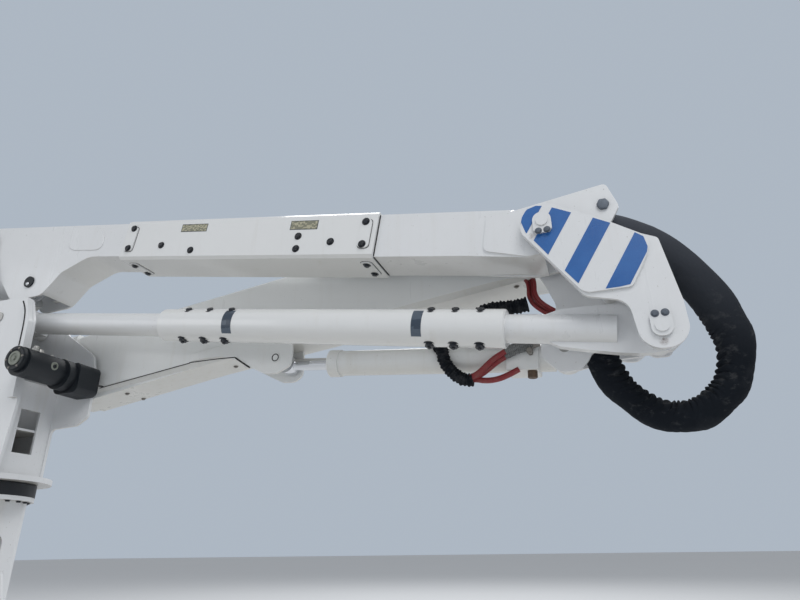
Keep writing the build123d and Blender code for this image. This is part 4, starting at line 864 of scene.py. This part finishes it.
# Bolts under the upper boom: four small zinc-plated heads, screwed up into its underside and into the keel,
# which deepens to the rear.
UPPER_UNDER = -0.097
KEEL_DEEP, KEEL_END, KEEL_LONG = 0.030, -2.090, 0.880
UNDER_BOLT_HALF = 0.0085
UNDER_BOLTS = ((-2.665, 0.266), (-2.667, 0.400), (-1.982, 0.326), (-0.378, 0.246))
under_way = PIN_E - upper_place(0.0, 1.0, 0.0)
under_seats = [upper_place(s, UPPER_UNDER - KEEL_DEEP * max(0.0, KEEL_END - s) / KEEL_LONG, y)
               for s, y in UNDER_BOLTS]
bolts("upper_under_bolts", "upper_boom", under_seats, under_way, UNDER_BOLT_HALF, grey_zinc)


# Cylinder hoses: red rubber hoses, pushed in a black woven sleeve that gathers in small folds, to the ports
# on the upper cylinder's base end, and the bundle that comes out of the upper boom's open front end. Coiled
# grey guards are slipped over two of them where they meet the ports.
RED_HOSES = [
    [(2.728, 0.230, 1.219), (2.768, 0.230, 1.227), (2.804, 0.230, 1.239), (2.843, 0.228, 1.264),
     (2.883, 0.222, 1.291), (2.945, 0.214, 1.318)],
    [(2.732, 0.212, 1.219), (2.772, 0.212, 1.229), (2.804, 0.210, 1.248), (2.844, 0.206, 1.281),
     (2.884, 0.200, 1.307), (2.950, 0.196, 1.336)],
    [(2.726, 0.236, 1.218), (2.768, 0.238, 1.222), (2.814, 0.238, 1.208), (2.870, 0.236, 1.208),
     (2.926, 0.232, 1.223), (2.972, 0.238, 1.246)]]
HOSE_GUARDS = [
    [(2.918, 0.215, 1.309), (2.945, 0.214, 1.318), (2.985, 0.216, 1.332), (3.046, 0.219, 1.346)],
    [(2.924, 0.197, 1.326), (2.950, 0.196, 1.336), (2.990, 0.204, 1.350), (3.046, 0.216, 1.362)]]
SMALL_SLEEVE = [
    (2.590, 0.258, 1.404), (2.612, 0.240, 1.400), (2.622, 0.222, 1.395), (2.622, 0.222, 1.365),
    (2.628, 0.222, 1.324), (2.651, 0.222, 1.278), (2.690, 0.222, 1.237), (2.729, 0.222, 1.214),
    (2.762, 0.222, 1.214)]
FRONT_RUN = ((3.022, 0.226, 1.713), (3.067, 0.218, 1.684), (3.077, 0.208, 1.634), (3.071, 0.200, 1.579),
             (3.101, 0.194, 1.519), (3.161, 0.192, 1.475))
FRONT_SPREAD = ((0.0, 0.0, 0.0), (-0.016, 0.010, -0.004), (0.012, -0.013, 0.003), (-0.019, -0.010, -0.012))
FRONT_SLEEVE = [(3.045, 0.198, 1.539), (2.996, 0.194, 1.531), (2.938, 0.190, 1.531), (2.878, 0.188, 1.535),
                (2.810, 0.190, 1.519), (2.751, 0.194, 1.480)]
RED_RADIUS = 0.0134
GUARD_RADIUS = 0.0168
SMALL_SLEEVE_RADIUS = 0.0285
FRONT_HOSE_RADIUS = 0.0085
FRONT_SLEEVE_RADIUS = 0.033

red_rubber = Finish("red_hose")
red_dust = red_rubber.noise(red_rubber.place(), 40.0, 5.0)
red_rubber.set("Base Color", red_rubber.mix(red_dust.within(0.45, 0.8) * 0.6, (0.23, 0.018, 0.022),
                                            (0.20, 0.11, 0.09)))
red_rubber.set("Roughness", red_dust * 0.2 + 0.42)
red_rubber.bump((red_rubber.noise(red_rubber.place(), 260.0, 2.0), 0.0002))
guard = Finish("hose_guard", roughness=0.6)
guard_dirt = guard.noise(guard.place(), 60.0, 4.0)
guard.set("Base Color", guard.mix(guard_dirt, (0.105, 0.115, 0.120), (0.21, 0.21, 0.20)))
guard.bump((guard_dirt, 0.0003))
gathered = Finish("gathered_sleeve", roughness=0.9)
gathered.set("Specular IOR Level", 0.2)
gathered_dust = gathered.noise(gathered.place(), 30.0, 5.0, 0.7)
gathered.set("Base Color", gathered.mix(gathered_dust.within(0.45, 0.80), (0.006, 0.008, 0.012),
                                        (0.050, 0.052, 0.055)))
gathered.bump((gathered.noise(gathered.place(), 120.0, 4.0), 0.0016))

front_hoses = [[np.add(at, apart) for at in FRONT_RUN] for apart in FRONT_SPREAD]
tubes("red_hoses", "upper_barrel", RED_HOSES, RED_RADIUS, red_rubber)
tubes("hose_guards", "upper_barrel", HOSE_GUARDS, GUARD_RADIUS, guard, 24, ripple=0.0014, pitch=0.0088)
tubes("small_sleeve", "upper_barrel", [SMALL_SLEEVE], SMALL_SLEEVE_RADIUS, gathered, 36,
      ripple=0.0026, pitch=0.0155, rows=300)
tubes("boom_front_hoses", "upper_boom", front_hoses, FRONT_HOSE_RADIUS, red_rubber)
tubes("boom_front_sleeve", "upper_boom", [FRONT_SLEEVE], FRONT_SLEEVE_RADIUS, gathered, 36,
      ripple=0.0028, pitch=0.0170, rows=300)


# Ports: a steel block welded on the upper cylinder's base end and painted with it. A bare rusty cap is
# screwed in below, and zinc-plated hexagon fittings at its right side take the red hoses.
BLOCK_CORNERS = ((2.914, 1.246), (3.060, 1.236), (3.068, 1.358), (2.922, 1.372))
BLOCK_RIGHT, BLOCK_LEFT = 0.232, 0.384
port_outline = rounded(side_outline(BLOCK_CORNERS), 0.010)
add_piece("port_block", "upper_barrel", [block(port_outline, (0, BLOCK_RIGHT, 0), (0, BLOCK_LEFT, 0), 0.003)],
          upper_paint, crease=30.0)

CAP_ROWS = [(0.0, -0.004), (0.020, -0.004), (0.022, 0.0), (0.022, 0.036), (0.020, 0.040), (0.0, 0.040)]
CAP_SEAT = ((3.030, 0.262, 1.246), (-0.06, 0, -1))
rusty = mottled("rusty_steel", (60.0, 6.0, 0.7), (0.16, 0.10, 0.065), (0.075, 0.055, 0.04), (0.55, 0.25), 0.0008,
                metallic=0.3, span=(0.35, 0.65))
turned_piece("port_caps", "upper_barrel", CAP_ROWS, [CAP_SEAT], rusty)

FITTING_ROWS = [(0.0, 0.0, 0), (0.011, 0.0, 0), (0.0125, 0.004, 1), (0.0125, 0.022, 1), (0.0145, 0.026, 0),
                (0.0145, 0.046, 0), (0.012, 0.050, 0), (0.0, 0.050, 0)]
HOSE_FITTINGS = (((3.078, 0.219, 1.351), (-0.97, 0, -0.2)), ((3.078, 0.219, 1.367), (-0.97, 0, -0.2)),
                 ((3.032, 0.238, 1.316), TO_RIGHT))
turned_piece("port_fittings", "upper_barrel", FITTING_ROWS, HOSE_FITTINGS, grey_zinc, 30, 6)


# Slewing ring bolts: black hexagon heads that clamp the ring, in one circle under the pedestal's cap and in
# one on the deck, clear of the side plates.
CAP_UNDER = 0.768
DECK_TOP = 0.888
CAP_CIRCLE, DECK_CIRCLE = 0.300, 0.290
RING_COUNT = 24
RING_BOLT_HALF = 0.010
SIDE_PLATE_Y = 0.148
PLATE_CLEAR = 0.030
under_cap = ring_of((0, 0, CAP_UNDER), (0, 0, -1), CAP_CIRCLE, RING_COUNT)
on_deck = [place for place in ring_of((0, 0, DECK_TOP), (0, 0, 1), DECK_CIRCLE, RING_COUNT, 0.13)
           if abs(abs(place[1]) - SIDE_PLATE_Y) > PLATE_CLEAR]
bolts("ring_bolts_below", "pedestal", under_cap, (0, 0, -1), RING_BOLT_HALF, black_zinc)
bolts("ring_bolts_above", "turntable", on_deck, (0, 0, 1), RING_BOLT_HALF, black_zinc)


# Welds: fillet beads round the elbow's doubler and cross tubes, along the lug's top edge and up the
# pedestal's gussets, each a half-sunk cord with a fine ripple under the paint.
def circle_route(x, y, z, radius, count=17):
    """Closed route round a tube that lies across the truck."""
    turn = np.linspace(0.0, 2 * pi, count)
    return [(x + radius * cos(t), y, z + radius * sin(t)) for t in turn]


def welds(name, body, routes, radius, finish):
    """Weld beads along routes."""
    return tubes(name, body, routes, radius, finish, 10, radius * 0.12, 0.006, 260)


DOUBLER_BEAD = 0.0042
BEAD = 0.0050
DOUBLER_FACE = -0.1575
ELBOW_TUBES = ((3.492, 1.580, 0.027, -0.140, 0.140), (3.400, 1.470, 0.031, -0.140, 0.140),
               (3.470, 1.560, 0.031, 0.156, 0.460), (3.470, 1.345, 0.037, 0.156, 0.460))
LUG_TOP = -0.0275
LUG_STATIONS = (-2.150, -1.950, -1.750, -1.562)
GUSSET_X, GUSSET_Y, GUSSET_HALF = 0.236, 0.130, 0.008
GUSSET_LOW, GUSSET_HIGH = 0.030, 0.428
edge_route = [(x, DOUBLER_FACE, z) for x, z in DOUBLER_EDGE]
tube_routes = [circle_route(x, y, z, radius) for x, z, radius, right, left in ELBOW_TUBES for y in (right, left)]
lug_route = [upper_place(station, LUG_TOP, SEAM_FACE) for station in LUG_STATIONS]
gusset_feet = [(sx * GUSSET_X, y + side * GUSSET_HALF) for sx in (-1, 1) for y in (-GUSSET_Y, GUSSET_Y)
               for side in (-1, 1)]
gusset_routes = [[(x, y, GUSSET_LOW), (x, y, GUSSET_HIGH)] for x, y in gusset_feet]
welds("doubler_weld", "elbow", [edge_route + edge_route[:1]], DOUBLER_BEAD, boom_paint)
welds("cross_tube_welds", "elbow", tube_routes, BEAD, boom_paint)
welds("lug_weld", "upper_boom", [lug_route], BEAD, upper_paint)
welds("gusset_welds", "pedestal", gusset_routes, BEAD, base_paint)


# Wear pads: blocks of cast nylon between the telescoping sections, screwed to the outer one's inside.
# The fibreglass section slides on them.
nylon = Finish("cast_nylon")
nylon.set("Base Color", nylon.mix(nylon.noise(nylon.place(), 30.0), (0.70, 0.68, 0.60), (0.62, 0.59, 0.50)))
nylon.bump((nylon.noise(nylon.place(), 120.0), 0.0003))
dress(nylon, "slide_pads")


# Platform: a moulded fibreglass tub, gel coated, with a rubber edge pushed on round its lip. It is bolted to
# its levelling frame, and the control levers carry round red knobs.
dress(gel, "platform")
TUB_FRONT, TUB_REAR = -1.270870, -1.890870
TUB_MIDDLE = 0.308
TUB_RIGHT, TUB_LEFT = TUB_MIDDLE - 0.380, TUB_MIDDLE + 0.380
TUB_TOP = 1.626992
LIP_Z = TUB_TOP - 0.013
LIP_EDGE = 0.0075
FRAME_BOLT_HALF = 0.0120
lip_corners = [(TUB_FRONT, TUB_RIGHT, LIP_Z), (TUB_FRONT, TUB_LEFT, LIP_Z), (TUB_REAR, TUB_LEFT, LIP_Z),
               (TUB_REAR, TUB_RIGHT, LIP_Z)]
lip_route = list(rounded(lip_corners, 0.100, 9))
tubes("platform_edge", "platform", [lip_route + lip_route[:1]], LIP_EDGE, rubber, 12, rows=400)

FRAME_BOLTS = [(TUB_FRONT + 0.090, TUB_MIDDLE + y, z) for y in (-0.140, 0.140) for z in (1.150, 1.400)]
bolts("platform_bolts", "platform", FRAME_BOLTS, (1, 0, 0), FRAME_BOLT_HALF, grey_zinc)

KNOB_ROWS = [(0.0, -0.004), (0.010, -0.004), (0.012, 0.004), (0.019, 0.012), (0.021, 0.022), (0.017, 0.034),
             (0.008, 0.041), (0.0, 0.042)]
LEVER_ENDS = [((TUB_FRONT + 0.060, TUB_MIDDLE + y, TUB_TOP + 0.218), (0, 0, 1)) for y in (-0.070, 0.0, 0.070)]
turned_piece("lever_knobs", "platform", KNOB_ROWS, LEVER_ENDS, red_rubber, 24, crease=40.0)
